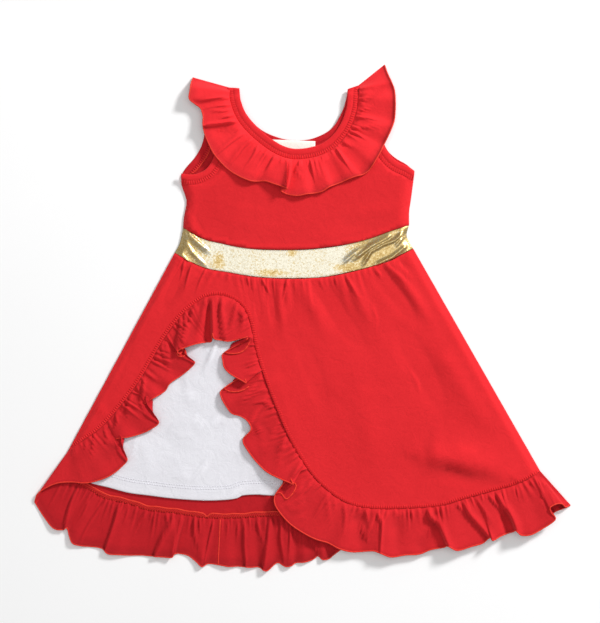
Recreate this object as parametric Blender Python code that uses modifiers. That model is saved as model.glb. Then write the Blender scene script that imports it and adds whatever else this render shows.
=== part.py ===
"""A child's princess dress in cotton jersey, laid flat with its front up.

The dress is about a four-year size: 270 mm across the chest and 564 mm from shoulder to hem.
Tables are in millimetres, seen from above. +X is to the right, +Y runs towards the neck and
+Z is up, with the origin under the middle of the dress on the surface that it lies on.
Each piece that is cut and sewn is one object. Heights are those of a piece's underside.
"""

import math

import bpy
from mathutils import Vector
from mathutils.geometry import delaunay_2d_cdt

MM = 0.001

# Cloth and sewing
CLOTH = 1.2                # wall of one layer of jersey
BINDING_CLOTH = 1.8        # wall of the folded binding
LABEL_CLOTH = 1.0          # wall of the woven label
BINDING = 12.5             # width of the neck and armhole bindings
SEAM = 0.5                 # gap between two pieces at a seam
RUFFLE_SEAM = 0.7          # from a seam to the start of its ruffle
STACK = 0.4                # gap between two layers that lie on each other

# Heights of the layers' undersides
NECK_LIFT = 2.2            # back bodice, where the back neck ruffle lies under it
UNDERSKIRT_Z = 2.7
SKIRT_FRONT_Z = 4.3
WAIST_FRONT_Z = 4.0
NECK_FRONT_Z = 5.7
NECK_RUFFLE_Z = NECK_FRONT_Z + BINDING_CLOTH + STACK
HEM_EDGE_Z = 6.1           # free edge of the front ruffle, over the back one
SIDE_JOIN_Z = 2.1          # bodice front where it meets the back at the side seam
SKIRT_JOIN_Z = 1.5         # skirt front where it meets the back at the side seam
SHOULDER_JOIN_Z = 4.3      # front straps where they meet the back ones
RUFFLE_JOIN_Z = 2.0        # front ruffles where they meet the back ones

# Distances over which a height changes
ROLL_IN = 9.0              # from a side seam to where the front has come up to its height
SHOULDER_ROLL = 7.0        # from a strap's end to where the front strap is at its height
BODICE_RISE = (100, 180)   # the front bodice rises between these two places in y
NECK_LIFT_RUN = (9.0, 22.0)    # past the hidden neck ruffle, where the back bodice comes down
SKIRT_END_RUN = 10.0       # from the side seam, where the front ruffle has come up
NECK_END_RUN = 6.0         # from a shoulder, where the front neck ruffle has come up
CORNER_RUN = 60.0          # of the left hem corner, where the front ruffle lies on the back one
OVER_BACK = (-40, 10)      # the front hem ruffle comes up over the back one in this x range
HEM_Y = -120               # seams lower than this are hems
HIDDEN_RUN = 40.0          # from the right side seam, where the hidden folds fade out

# Gathers
GATHER_WIDTH = 3.6         # half width of a ridge
GATHER_START = 0.45        # share of its height that a ridge has in the seam
GATHER_RUN = 9.0           # below the seam, where it has its full height
GATHER_REACH = 14.0        # beyond this a ridge adds nothing
BACK_GATHERS = 0.27        # share of the front's gather height that the back has

# Widths and cut lines
UNDERSKIRT_IN = 14.0       # how far inside the waist's ends the underskirt starts
NECK_RUFFLE_BACK = 38.0    # width of the hidden back neck ruffle
SHOULDER_WRAP = 6.0        # how far the neck ruffle runs past the straps' ends
SHOULDER_ROOM = 4.0        # no row of the neck seam lies nearer than this to a strap's end
STRAP_STOP = 3.0           # room below a strap's end without a further corner
ROOT_EASING = 6            # rounds of spreading the folds' starts along a seam
ROOT_LEAST = 0.3           # least share of the even spacing between two folds' starts

# Necklines and armholes, at their free edges. Columns: x, y.
NECK_FRONT = [
    (-74, 269), (-72, 254), (-64, 236), (-47, 218), (-24, 202), (-3, 198),
    (24, 205), (42, 223), (51, 245), (53, 268)]
NECK_BACK = [
    (-74, 269), (-72, 254), (-65, 238), (-49, 221), (-27, 211), (-6, 208),
    (14, 211), (34, 222), (46, 241), (51, 256), (53, 268)]
ARM_LEFT_FRONT = [
    (-142, 169), (-128, 168), (-116, 172), (-108, 180), (-103, 191), (-101, 205), (-105, 230),
    (-110, 248), (-113, 261)]
ARM_LEFT_BACK = [
    (-142, 168), (-136, 177), (-125, 190), (-117, 206), (-114, 225), (-113, 245), (-113, 261)]
ARM_RIGHT_FRONT = [
    (131, 172), (124, 177), (111, 183), (102, 191), (95, 202), (90, 216), (88, 234), (90, 252),
    (93, 268)]
ARM_RIGHT_BACK = [
    (131, 172), (122, 180), (110, 187), (101, 195), (95, 206), (91, 220), (89, 236), (90, 252),
    (93, 268)]

# Straps' ends at the shoulder, where the neck seam meets them.
STRAP_LEFT = (-87, 264)
STRAP_RIGHT = (66, 267)

# Side seams of the bodice, from the underarm to the waistband. Columns: x, y.
SIDE_LEFT = [(-142, 156), (-137, 142), (-136, 134), (-139, 118), (-140, 106)]
SIDE_RIGHT = [(130, 160), (127, 138), (125, 124), (125, 109)]

# Waistband seams, left to right. Columns: x, y.
WAIST_TOP = [
    (-140, 106), (-116, 93), (-97, 88), (-67, 82), (-29, 80), (10, 81), (49, 86), (78, 93),
    (103, 102), (125, 109)]
WAIST_BOTTOM = [
    (-150, 76), (-136, 68), (-114, 58), (-87, 53), (-58, 48), (-29, 46), (1, 46), (29, 48),
    (54, 53), (78, 59), (103, 67), (116, 74), (130, 81)]
BAND_LEFT = [(-140, 106), (-142, 94), (-145, 84), (-150, 76)]
BAND_RIGHT = [(125, 109), (122, 97), (125, 88), (130, 81)]
BAND_BEND = 0.15           # share of its length over which the band follows its bent ends

# Lower seam of the front skirt with its arch. Columns: x, y, share of the waist above it.
FRONT_SEAM = [
    (-275, -156, 0.0), (-255, -142, 0.02), (-238, -130, 0.04), (-219, -110, 0.06),
    (-191, -73, 0.085), (-164, -27, 0.115), (-146, -2, 0.14), (-132, 12, 0.16), (-115, 24, 0.185),
    (-99, 27, 0.21), (-83, 23, 0.24), (-69, 12, 0.27), (-61, -6, 0.30), (-55, -36, 0.33),
    (-46, -66, 0.36), (-32, -103, 0.40), (-16, -140, 0.44), (5, -175, 0.48), (25, -198, 0.52),
    (51, -216, 0.565), (80, -223, 0.61), (121, -223, 0.67), (161, -220, 0.73), (189, -212, 0.78),
    (221, -203, 0.84), (252, -194, 0.91), (279, -180, 1.0)]

# Lower seam of the back skirt. Columns: x, y, share of the waist above it.
BACK_SEAM = [
    (-275, -156, 0.0), (-274, -172, 0.02), (-270, -186, 0.04), (-261, -195, 0.07),
    (-249, -201, 0.10), (-232, -211, 0.13), (-202, -218, 0.18), (-180, -225, 0.22),
    (-145, -229, 0.27), (-111, -234, 0.33), (-76, -234, 0.38), (-42, -232, 0.44),
    (0, -231, 0.51), (50, -230, 0.59), (114, -227, 0.69), (170, -219, 0.79), (221, -206, 0.88),
    (254, -195, 0.94), (279, -180, 1.0)]

# Hem of the white underskirt. Columns: x, y, share of the waist above it.
UNDERSKIRT_HEM = [
    (-262, -158, 0.0), (-262, -176, 0.03), (-253, -191, 0.06), (-226, -199, 0.12),
    (-203, -205, 0.17), (-180, -208, 0.22), (-157, -211, 0.27), (-134, -213, 0.32),
    (-111, -214, 0.37), (-88, -213, 0.41), (-76, -211, 0.43), (-70, -208, 0.44),
    (-53, -207, 0.47), (-33, -208, 0.51), (32, -208, 0.62), (114, -204, 0.76),
    (196, -189, 0.90), (262, -166, 1.0)]

# Gathers of the skirt front at the waist. Columns: x at the waist, length, height.
WAIST_GATHERS = [
    (-143, 34, 1.6), (-135, 40, 2.4), (-127, 34, 1.8), (-117, 38, 2.6), (-105, 44, 3.2),
    (-91, 36, 2.8), (-79, 30, 2.4), (-69, 46, 3.6), (-59, 58, 4.2), (-50, 50, 3.2),
    (-40, 62, 4.4), (-30, 52, 3.2), (-19, 60, 4.2), (-7, 48, 3.2), (7, 62, 4.4),
    (25, 54, 3.8), (43, 60, 4.2), (64, 50, 3.6), (89, 44, 3.2), (104, 38, 2.6), (117, 32, 1.8)]

# Folds of the front ruffle at its free edge, from the left side seam round the arch to the
# right side seam. Columns: x, y, rise.
FRONT_FOLDS = [
    (-314, -216, 0.0), (-310, -206, 2.5), (-299, -198, 4.0), (-286, -193, 3.0),
    (-270, -192, 0.8), (-256, -193, 0.3), (-243, -191, 1.2), (-226, -184, 2.8),
    (-213, -176, 1.6), (-205, -166, 3.0), (-202, -154, 4.2), (-203, -141, 0.6),
    (-188, -135, 1.0), (-177, -129, 3.4), (-169, -121, 4.2), (-170, -108, 1.4),
    (-170, -95, 0.3), (-158, -84, 2.4), (-153, -76, 3.4), (-142, -67, 0.8),
    (-131, -58, 2.8), (-126, -52, 3.6), (-130, -43, 0.4), (-134, -35, 4.8),
    (-122, -30, 5.2), (-112, -28, 0.6), (-107, -27, 0.4), (-103, -24, 4.6),
    (-94, -26, 4.4), (-87, -29, 1.0), (-92, -36, 4.2), (-94, -44, 5.0),
    (-92, -55, 3.2), (-85, -64, 1.8), (-83, -70, 0.6), (-92, -79, 4.4),
    (-96, -88, 5.2), (-92, -98, 4.0), (-83, -111, 1.6), (-72, -115, 0.6),
    (-65, -122, 3.2), (-66, -133, 4.2), (-70, -144, 0.6), (-63, -156, 3.2),
    (-53, -169, 1.4), (-41, -180, 3.6), (-28, -188, 3.2), (-27, -194, 0.6),
    (-31, -203, 3.8), (-33, -214, 4.6), (-26, -228, 2.8), (-14, -241, 0.8),
    (1, -251, 2.8), (15, -258, 3.6), (30, -263, 0.4), (42, -269, 3.2), (54, -276, 4.6),
    (69, -276, 0.4), (85, -273, 3.0), (103, -278, 4.4), (120, -277, 0.4), (137, -276, 3.6),
    (150, -272, 0.4), (165, -269, 2.8), (180, -271, 4.8), (197, -267, 0.4), (213, -263, 3.4),
    (223, -258, 0.4), (237, -254, 2.6), (248, -250, 0.4), (256, -253, 4.0), (266, -254, 4.8),
    (280, -246, 0.6), (294, -236, 4.2), (301, -227, 1.0), (314, -220, 0.0)]

# Folds of the back ruffle where it shows, from the left side seam. Columns: x, y, rise.
BACK_FOLDS = [
    (-314, -216, 0.0), (-303, -233, 0.8), (-292, -246, 2.6), (-281, -248, 2.8),
    (-276, -246, 0.3), (-273, -256, 2.6), (-269, -264, 3.4), (-259, -267, 1.4),
    (-247, -268, 0.3), (-235, -270, 1.4), (-228, -276, 3.4), (-217, -277, 3.8),
    (-204, -278, 0.8), (-190, -278, 0.2), (-176, -279, 1.2), (-162, -280, 3.4),
    (-153, -280, 4.0), (-149, -276, 0.3), (-135, -278, 0.8), (-125, -285, 2.2),
    (-118, -291, 3.8), (-111, -288, 0.3), (-99, -289, 2.2), (-87, -291, 3.0),
    (-75, -291, 0.4), (-62, -292, 2.8), (-51, -292, 0.4), (-42, -296, 4.0),
    (-30, -287, 0.3), (-20, -291, 3.2), (-13, -290, 3.4), (-8, -287, 0.3),
    (2, -286, 2.8), (12, -283, 0.6), (18, -279, 0.2), (24, -283, 3.4),
    (31, -282, 1.0), (36, -278, 0.2)]

# The rest of the back ruffle lies under the front one. Columns: x, y of its free edge.
BACK_HIDDEN_EDGE = [
    (48, -270), (80, -267), (130, -269), (175, -263), (215, -255), (250, -244), (285, -233),
    (302, -224), (314, -220)]
BACK_HIDDEN_FOLDS = 15
BACK_HIDDEN_RISE = 1.8

# Folds of the front neck ruffle at its free edge, from the left shoulder to the right one.
# Columns: x, y, rise.
NECK_FOLDS = [
    (-128, 282, 0.0), (-130, 275, 1.2), (-131, 266, 3.2), (-132, 256, 4.0),
    (-125, 250, 0.3), (-119, 245, 1.2), (-116, 236, 3.4), (-116, 225, 3.6),
    (-114, 215, 0.6), (-110, 205, 0.8), (-104, 193, 3.6), (-97, 184, 3.4),
    (-88, 175, 0.4), (-78, 168, 1.6), (-68, 163, 3.6), (-59, 160, 3.2),
    (-51, 160, 0.4), (-43, 160, 2.2), (-34, 157, 4.2), (-20, 151, 5.2),
    (-18, 146, 0.6), (-6, 143, 2.6), (5, 145, 3.4),
    (14, 146, 0.5), (23, 148, 2.4), (31, 153, 3.8), (38, 156, 0.6),
    (46, 159, 0.4), (55, 163, 3.0), (64, 166, 3.2), (71, 168, 0.4),
    (78, 173, 1.0), (84, 182, 3.8), (91, 194, 2.6), (95, 203, 0.4),
    (100, 213, 2.8), (104, 222, 3.2), (107, 231, 0.4), (108, 242, 1.8),
    (108, 255, 3.8), (107, 267, 0.6), (103, 277, 2.6), (99, 287, 2.4),
    (96, 297, 0.0)]

# Free edge of the hidden back neck ruffle where the shoulders fold. Columns: x, y.
NECK_BACK_ENDS = [(-124, 279), (93, 294)]
NECK_BACK_TOP = 262        # its other folds lie lower than this
NECK_BACK_FOLDS = 14
NECK_BACK_RISE = 0.6

# Soft ridges and troughs pressed into the flat pieces. Columns: x0, y0, x1, y1, width, height.
BAND_CREASES = [
    (-138, 97, -126, 76, 3.5, 1.6), (-129, 99, -118, 62, 3.5, 1.2), (66, 84, 84, 64, 4.0, 1.2),
    (84, 92, 96, 68, 4.0, 1.6), (101, 96, 109, 78, 3.5, 1.8), (114, 103, 118, 84, 3.0, 1.4)]
SKIRT_CREASES = [(126, -168, 232, -192, 26.0, 1.6)]
UNDERSKIRT_CREASES = [(-170, -150, -120, -176, 20.0, 0.9)]

# Label inside the back neck. Columns: x, y of its left and right ends.
LABEL_ENDS = [(-38, 209), (15, 207)]
LABEL_DEPTH = 20.0
LABEL_CELLS = (6, 2)       # across and down

# Sampling
BOUNDARY_STEP = 9.0        # along a seam
LOWER_STEP = 6.0           # along the lower seam of a skirt
RUFFLE_STEP = 4.0          # along the line that a ruffle starts on
INNER_STEP = 18.0          # inside a bodice panel
SIDE_STEP = 14.0           # inside it beside the side seams
SIDE_MARGIN = 6.0          # from the outline to the points beside the side seams
SIDE_ZONE = (16.0, 20.0)   # those end before the first distance, the others start at the second
RUFFLE_SAMPLES = 2         # columns for each fold row
RUFFLE_ROWS = (0.0, 0.14, 0.38, 0.68, 1.0)
BACK_BAND_CELLS = (24, 2)  # along and across the waistband
FRONT_BAND_CELLS = (48, 5)
GATHER_ROWS = (6.0, 15.0, 28.0, 44.0)
PANEL_ROWS = (70.0, 98.0, 128.0, 160.0, 192.0, 224.0, 256.0, 288.0)
PANEL_COLUMNS = 15         # in the first of those rows, one more in each further row
LOWER_ROOM = 7.0           # from the last point of a line to the lower seam
POINT_ROOM = 3.0           # between two points
OUTLINE_ROOM = 2.5         # between a point and the outline

# Colours: name, base colour, roughness, metallic.
FINISHES = {
    "red_jersey": ((0.76, 0.02, 0.027), 0.8, 0.0),
    "white_jersey": ((0.78, 0.77, 0.83), 0.8, 0.0),
    "gold_lame": ((0.70, 0.48, 0.14), 0.35, 0.8),
    "label_tape": ((0.87, 0.82, 0.74), 0.7, 0.0)}


def clamp(value, low=0.0, high=1.0):
    return max(low, min(high, value))


def lerp(a, b, share):
    return a + (b - a) * share


def ease(low, high, value):
    """A smooth step from 0 at low to 1 at high."""
    share = clamp((value - low) / (high - low))
    return share * share * (3 - 2 * share)


def curve_value(rows, place, column):
    """A Catmull-Rom value of one column at a fractional row number."""
    last = len(rows) - 1
    index = int(clamp(math.floor(place), 0, last - 1))
    t = place - index
    b, c = rows[index][column], rows[index + 1][column]
    a = rows[index - 1][column] if index > 0 else 2 * b - c
    d = rows[index + 2][column] if index + 2 <= last else 2 * c - b
    return 0.5 * (2 * b + (c - a) * t + (2 * a - 5 * b + 4 * c - d) * t ** 2
                  + (3 * b - a - 3 * c + d) * t ** 3)


class Seam:
    """A smooth line through the rows of a table, read by its length in millimetres."""

    def __init__(self, rows, fine=12):
        self.rows = rows
        self.fine = fine
        places = [i / fine for i in range(fine * (len(rows) - 1) + 1)]
        self.points = [self.at_place(place) for place in places]
        self.places = places
        self.lengths = [0.0]
        for a, b in zip(self.points, self.points[1:]):
            self.lengths.append(self.lengths[-1] + math.dist(a, b))
        self.length = self.lengths[-1]

    def at_place(self, place):
        return (curve_value(self.rows, place, 0), curve_value(self.rows, place, 1))

    def place(self, length):
        """The fractional row number at a length along the seam."""
        length = clamp(length, 0, self.length)
        low, high = 0, len(self.lengths) - 1
        while high - low > 1:
            middle = (low + high) // 2
            if self.lengths[middle] > length:
                high = middle
            else:
                low = middle
        share = (length - self.lengths[low]) / max(self.lengths[high] - self.lengths[low], 1e-9)
        return lerp(self.places[low], self.places[high], share)

    def at(self, length):
        return self.at_place(self.place(length))

    def row_length(self, index):
        """The length along the seam of a row of its table."""
        return self.lengths[self.fine * index]

    def column(self, length, column):
        """A further column of the table, straight between its rows."""
        place = self.place(length)
        index = int(clamp(math.floor(place), 0, len(self.rows) - 2))
        return lerp(self.rows[index][column], self.rows[index + 1][column], place - index)

    def nearest(self, x, y):
        """The length along the seam of its point nearest to x, y, and the distance there."""
        index = min(range(len(self.points)), key=lambda i: math.dist(self.points[i], (x, y)))
        return self.lengths[index], math.dist(self.points[index], (x, y))

    def samples(self, step):
        count = max(2, round(self.length / step))
        return [self.at(self.length * i / count) for i in range(count + 1)]


def moved_out(points, distance):
    """An open line moved to its left by a distance."""
    result = []
    for i, point in enumerate(points):
        before = points[max(i - 1, 0)]
        after = points[min(i + 1, len(points) - 1)]
        run = Vector((after[0] - before[0], after[1] - before[1])).normalized()
        result.append((point[0] - run.y * distance, point[1] + run.x * distance))
    return result


def inset(outline, distance):
    """A closed outline, given anticlockwise, pulled in by a distance."""
    count = len(outline)
    result = []
    for i, point in enumerate(outline):
        before, after = outline[i - 1], outline[(i + 1) % count]
        first = Vector((point[0] - before[0], point[1] - before[1])).normalized()
        second = Vector((after[0] - point[0], after[1] - point[1])).normalized()
        normals = Vector((-first.y, first.x)), Vector((-second.y, second.x))
        middle = (normals[0] + normals[1]).normalized()
        reach = distance / max(middle.dot(normals[0]), 0.4)
        result.append((point[0] + middle.x * reach, point[1] + middle.y * reach))
    return result


def is_inside(outline, x, y):
    hit = False
    for (x0, y0), (x1, y1) in zip(outline, outline[1:] + outline[:1]):
        if (y0 > y) != (y1 > y) and x < (x1 - x0) * (y - y0) / (y1 - y0) + x0:
            hit = not hit
    return hit


def distance_to(outline, x, y):
    best = 1e9
    for a, b in zip(outline, outline[1:] + outline[:1]):
        run = (b[0] - a[0], b[1] - a[1])
        size = run[0] ** 2 + run[1] ** 2
        share = clamp(((x - a[0]) * run[0] + (y - a[1]) * run[1]) / max(size, 1e-9))
        best = min(best, math.hypot(x - a[0] - run[0] * share, y - a[1] - run[1] * share))
    return best


def creases(rows, x, y):
    """The height that the pressed ridges of a table add at x, y."""
    total = 0.0
    for x0, y0, x1, y1, width, height in rows:
        run = (x1 - x0, y1 - y0)
        share = ((x - x0) * run[0] + (y - y0) * run[1]) / (run[0] ** 2 + run[1] ** 2)
        end = clamp(share)
        away = math.hypot(x - x0 - run[0] * end, y - y0 - run[1] * end)
        total += height * math.exp(-(away / width) ** 2)
    return total


NECK_FRONT_EDGE = Seam(NECK_FRONT)
NECK_BACK_EDGE = Seam(NECK_BACK)
NECK_FRONT_SEAM = Seam(moved_out(NECK_FRONT_EDGE.samples(BOUNDARY_STEP), -BINDING))
NECK_BACK_SEAM = Seam(moved_out(NECK_BACK_EDGE.samples(BOUNDARY_STEP), -BINDING))
SIDE_SEAMS = (Seam(SIDE_LEFT), Seam(SIDE_RIGHT))
WAIST_TOP_SEAM = Seam(WAIST_TOP)
WAIST_SEAM = Seam(WAIST_BOTTOM)
BAND_ENDS = (Seam(BAND_LEFT), Seam(BAND_RIGHT))
SKIRT_SIDES = (
    Seam([WAIST_BOTTOM[0], FRONT_SEAM[0][:2]]), Seam([WAIST_BOTTOM[-1], FRONT_SEAM[-1][:2]]))


def beside(seams, x, y):
    """The distance to the nearer of two seams."""
    return min(seam.nearest(x, y)[1] for seam in seams)


def on_surface(x, y):
    """Underside of what lies on the surface under the dress."""
    return 0.0


def back_height(x, y):
    """Underside of the back bodice: flat, but lifted where the neck ruffle lies under it."""
    past = NECK_BACK_SEAM.nearest(x, y)[1] - NECK_RUFFLE_BACK
    return NECK_LIFT * ease(NECK_LIFT_RUN[1], NECK_LIFT_RUN[0], past)


def shoulder_y(x):
    """The straps' ends at the shoulder."""
    return STRAP_LEFT[1] if x < 0 else STRAP_RIGHT[1]


def front_height(x, y):
    """Underside of the front bodice, brought down at the side seams and the shoulders."""
    height = lerp(WAIST_FRONT_Z, NECK_FRONT_Z, ease(*BODICE_RISE, y))
    height = lerp(SIDE_JOIN_Z, height, ease(0, ROLL_IN, beside(SIDE_SEAMS, x, y)))
    strap = ease(0, SHOULDER_ROLL, shoulder_y(x) - y)
    return min(height, lerp(SHOULDER_JOIN_Z, NECK_FRONT_Z, strap))


def skirt_front_height(x, y):
    """Underside of the front skirt, brought down at the side seams."""
    base = SKIRT_FRONT_Z + creases(SKIRT_CREASES, x, y)
    return lerp(SKIRT_JOIN_Z, base, ease(0, ROLL_IN, beside(SKIRT_SIDES, x, y)))


def underskirt_height(x, y):
    return UNDERSKIRT_Z + creases(UNDERSKIRT_CREASES, x, y)


def band_height(x, y):
    """Underside of the front waistband, brought down at its ends."""
    base = WAIST_FRONT_Z + creases(BAND_CREASES, x, y)
    return lerp(SKIRT_JOIN_Z, base, ease(0, ROLL_IN, beside(BAND_ENDS, x, y)))


def gather_height(gathers, waist_x, down):
    """The ridges that gathers raise at a place on the waist and a distance below it."""
    total = 0.0
    for place, length, height in gathers:
        away = abs(waist_x - place)
        if away < GATHER_REACH:
            fade = ease(length, 0, down) * lerp(GATHER_START, 1.0, ease(0, GATHER_RUN, down))
            total = max(total, height * math.exp(-(away / GATHER_WIDTH) ** 2) * fade)
    return total


def material(name):
    colour, roughness, metallic = FINISHES[name]
    result = bpy.data.materials.new(name)
    result.use_nodes = True
    shader = result.node_tree.nodes["Principled BSDF"]
    shader.inputs["Base Color"].default_value = (*colour, 1.0)
    shader.inputs["Roughness"].default_value = roughness
    shader.inputs["Metallic"].default_value = metallic
    return result


def add_cloth(name, points, faces, finish, thickness=CLOTH):
    """An open surface of cloth, thickened upwards from its underside."""
    mesh = bpy.data.meshes.new(name)
    mesh.from_pydata([(x * MM, y * MM, z * MM) for x, y, z in points], [], faces)
    mesh.update()
    mesh.materials.append(material(finish))
    mesh.shade_smooth()
    piece = bpy.data.objects.new(name, mesh)
    DRESS.objects.link(piece)
    wall = piece.modifiers.new("wall", "SOLIDIFY")
    wall.thickness = thickness * MM
    wall.offset = 1.0
    wall.use_rim = True
    return piece


def add_panel(name, outline, inner, finish, thickness=CLOTH):
    """A flat-cut panel from its outline and inner points, all as x, y, height."""
    points = outline + inner
    edges = [(i, (i + 1) % len(outline)) for i in range(len(outline))]
    flat = [Vector((x, y)) for x, y, z in points]
    result = delaunay_2d_cdt(flat, edges, [], 1, 0.0001)
    origins = result[3]
    heights = [points[origin[0]][2] for origin in origins]
    placed = [(spot.x, spot.y, heights[i]) for i, spot in enumerate(result[0])]
    return add_cloth(name, placed, [tuple(face) for face in result[2]], finish, thickness)


def add_strip(name, first, second, height, finish, thickness, cells=1):
    """A strip between two lines of the same count, the first on the left of its run."""
    count = len(first)
    points = []
    for row in range(cells + 1):
        for a, b in zip(first, second):
            x, y = lerp(a[0], b[0], row / cells), lerp(a[1], b[1], row / cells)
            points.append((x, y, height(x, y)))
    faces = []
    for row in range(cells):
        for i in range(count - 1):
            a, b = row * count + i, (row + 1) * count + i
            faces.append((a, b, b + 1, a + 1))
    return add_cloth(name, points, faces, finish, thickness)


def binding_seam(edge_rows, side, underarm=None, width=BINDING):
    """The seam of a binding, on the left of its edge if side is 1, ending at the underarm."""
    points = moved_out(Seam(edge_rows).samples(BOUNDARY_STEP), side * width)
    if underarm:
        start = edge_rows[0]
        share = width / BINDING
        points[0] = (lerp(start[0], underarm[0], share), lerp(start[1], underarm[1], share))
    return points


def add_binding(name, edge_rows, side, height, underarm=None):
    """A binding from its free edge to its seam."""
    edge = Seam(edge_rows).samples(BOUNDARY_STEP)
    seam = binding_seam(edge_rows, side, underarm, BINDING - SEAM / 2)
    first, second = (seam, edge) if side > 0 else (edge, seam)
    return add_strip(name, first, second, height, "red_jersey", BINDING_CLOTH)


def bodice_outline(arm_left, arm_right, neck):
    """Outline of a bodice panel, anticlockwise from the left end of the waist."""
    left = binding_seam(arm_left, -1, SIDE_LEFT[0])
    right = binding_seam(arm_right, 1, SIDE_RIGHT[0])
    seam = binding_seam(neck, -1)
    outline = WAIST_TOP_SEAM.samples(BOUNDARY_STEP * 1.5)
    outline += SIDE_SEAMS[1].samples(BOUNDARY_STEP)[::-1][1:-1]
    outline += [p for p in right if p[1] < STRAP_RIGHT[1] - STRAP_STOP] + [STRAP_RIGHT]
    outline += [p for p in seam if p[1] < shoulder_y(p[0]) - STRAP_STOP][::-1] + [STRAP_LEFT]
    outline += [p for p in left if p[1] < STRAP_LEFT[1] - STRAP_STOP][::-1]
    outline += SIDE_SEAMS[0].samples(BOUNDARY_STEP)[1:-1]
    return outline


def inner_grid(outline, step, margin):
    """Points of a triangular grid that lie inside an outline."""
    xs = [p[0] for p in outline]
    ys = [p[1] for p in outline]
    points = []
    row_step = step * math.sqrt(3) / 2
    for row in range(int((max(ys) - min(ys)) / row_step) + 1):
        y = min(ys) + row * row_step
        for column in range(int((max(xs) - min(xs)) / step) + 2):
            x = min(xs) + (column - 0.5 * (row % 2)) * step
            if is_inside(outline, x, y) and distance_to(outline, x, y) > margin:
                points.append((x, y))
    return points


def add_bodice(name, arm_left, arm_right, neck, height):
    """A bodice panel, with closer points beside the side seams, where it changes height."""
    outline = inset(bodice_outline(arm_left, arm_right, neck), SEAM / 2)
    points = [p for p in inner_grid(outline, SIDE_STEP, SIDE_MARGIN)
              if beside(SIDE_SEAMS, *p) < SIDE_ZONE[0]]
    points += [p for p in inner_grid(outline, INNER_STEP, BOUNDARY_STEP)
               if beside(SIDE_SEAMS, *p) > SIDE_ZONE[1]]
    return add_panel(name, [(*p, height(*p)) for p in outline],
                     [(*p, height(*p)) for p in points], "red_jersey")


class Skirt:
    """A gathered panel whose lines fan from the waist to its lower seam."""

    def __init__(self, lower_rows, gathers, height, margin=0.0):
        self.lower = Seam(lower_rows)
        self.gathers = gathers
        self.height = height
        self.margin = margin
        self.shares = [row[2] for row in lower_rows]
        self.share_lengths = [self.lower.row_length(i) for i in range(len(lower_rows))]

    def waist_at(self, share):
        room = WAIST_SEAM.length - 2 * self.margin
        return WAIST_SEAM.at(self.margin + share * room)

    def lower_at(self, share):
        index = max(i for i, value in enumerate(self.shares[:-1]) if value <= share)
        step = (share - self.shares[index]) / (self.shares[index + 1] - self.shares[index])
        return self.lower.at(lerp(self.share_lengths[index], self.share_lengths[index + 1], step))

    def point(self, share, down):
        """The point that lies a distance below the waist on the line of a waist share."""
        top, end = self.waist_at(share), self.lower_at(share)
        part = down / math.dist(top, end)
        x, y = lerp(top[0], end[0], part), lerp(top[1], end[1], part)
        return (x, y, self.height(x, y) + gather_height(self.gathers, top[0], down))

    def line_length(self, share):
        return math.dist(self.waist_at(share), self.lower_at(share))

    def gather_shares(self):
        """Waist shares of the gathers' crests and of the troughs between them."""
        waist_y = WAIST_BOTTOM[len(WAIST_BOTTOM) // 2][1]
        crests = sorted(WAIST_SEAM.nearest(row[0], waist_y)[0] / WAIST_SEAM.length
                        for row in self.gathers)
        ends = [0.0] + crests + [1.0]
        troughs = [lerp(a, b, 0.5) for a, b in zip(ends, ends[1:])]
        return sorted(crests + troughs)

    def outline(self):
        shares = [0.0] + self.gather_shares() + [1.0]
        top = [self.point(share, 0.0) for share in shares]
        count = round(self.lower.length / LOWER_STEP)
        lower = []
        for i in range(count + 1):
            length = self.lower.length * i / count
            x, y = self.lower.at(length)
            share = clamp(self.lower.column(length, 2))
            ridge = gather_height(self.gathers, self.waist_at(share)[0], self.line_length(share))
            lower.append((x, y, self.height(x, y) + ridge))
        steps = round(self.line_length(0) / (2 * BOUNDARY_STEP))
        sides = []
        for share in (0.0, 1.0):
            full = self.line_length(share)
            sides.append([self.point(share, full * i / steps) for i in range(1, steps)])
        return lower + sides[1][::-1] + top[::-1] + sides[0]

    def inner(self, outline):
        """Points inside the panel: on each gather near the waist, then in staggered rows."""
        flat = [p[:2] for p in outline]
        points = [(share, down) for down in GATHER_ROWS for share in self.gather_shares()]
        for row, down in enumerate(PANEL_ROWS):
            count = PANEL_COLUMNS + row
            for i in range(count):
                points.append(((i + 0.5 * (row % 2) + 0.5) / (count + 0.5), down))
        kept = self.beside_sides()
        for share, down in points:
            if down > self.line_length(share) - LOWER_ROOM:
                continue
            spot = self.point(share, down)
            clear = min(math.dist(spot[:2], other[:2]) for other in kept)
            if clear < POINT_ROOM or not is_inside(flat, *spot[:2]):
                continue
            if distance_to(flat, *spot[:2]) > OUTLINE_ROOM:
                kept.append(spot)
        return kept

    def beside_sides(self):
        """Points a little inside each side, where the front has come up to its height."""
        points = []
        for share, turn in ((0.0, -1), (1.0, 1)):
            line = [self.waist_at(share), self.lower_at(share)]
            (x0, y0), (x1, y1) = moved_out(line, -turn * ROLL_IN)
            count = round(math.dist((x0, y0), (x1, y1)) / (2 * BOUNDARY_STEP))
            for i in range(1, count):
                x, y = lerp(x0, x1, i / count), lerp(y0, y1, i / count)
                points.append((x, y, self.height(x, y)))
        return points


def add_skirt(name, skirt, finish):
    outline = skirt.outline()
    pulled = inset([p[:2] for p in outline], SEAM / 2)
    edge = [(x, y, point[2]) for (x, y), point in zip(pulled, outline)]
    return add_panel(name, edge, skirt.inner(edge), finish)


def swell(share):
    """How much of a fold's rise the cloth has at a share of the ruffle's width."""
    return math.sin(share * math.pi / 2) ** 0.8


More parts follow.
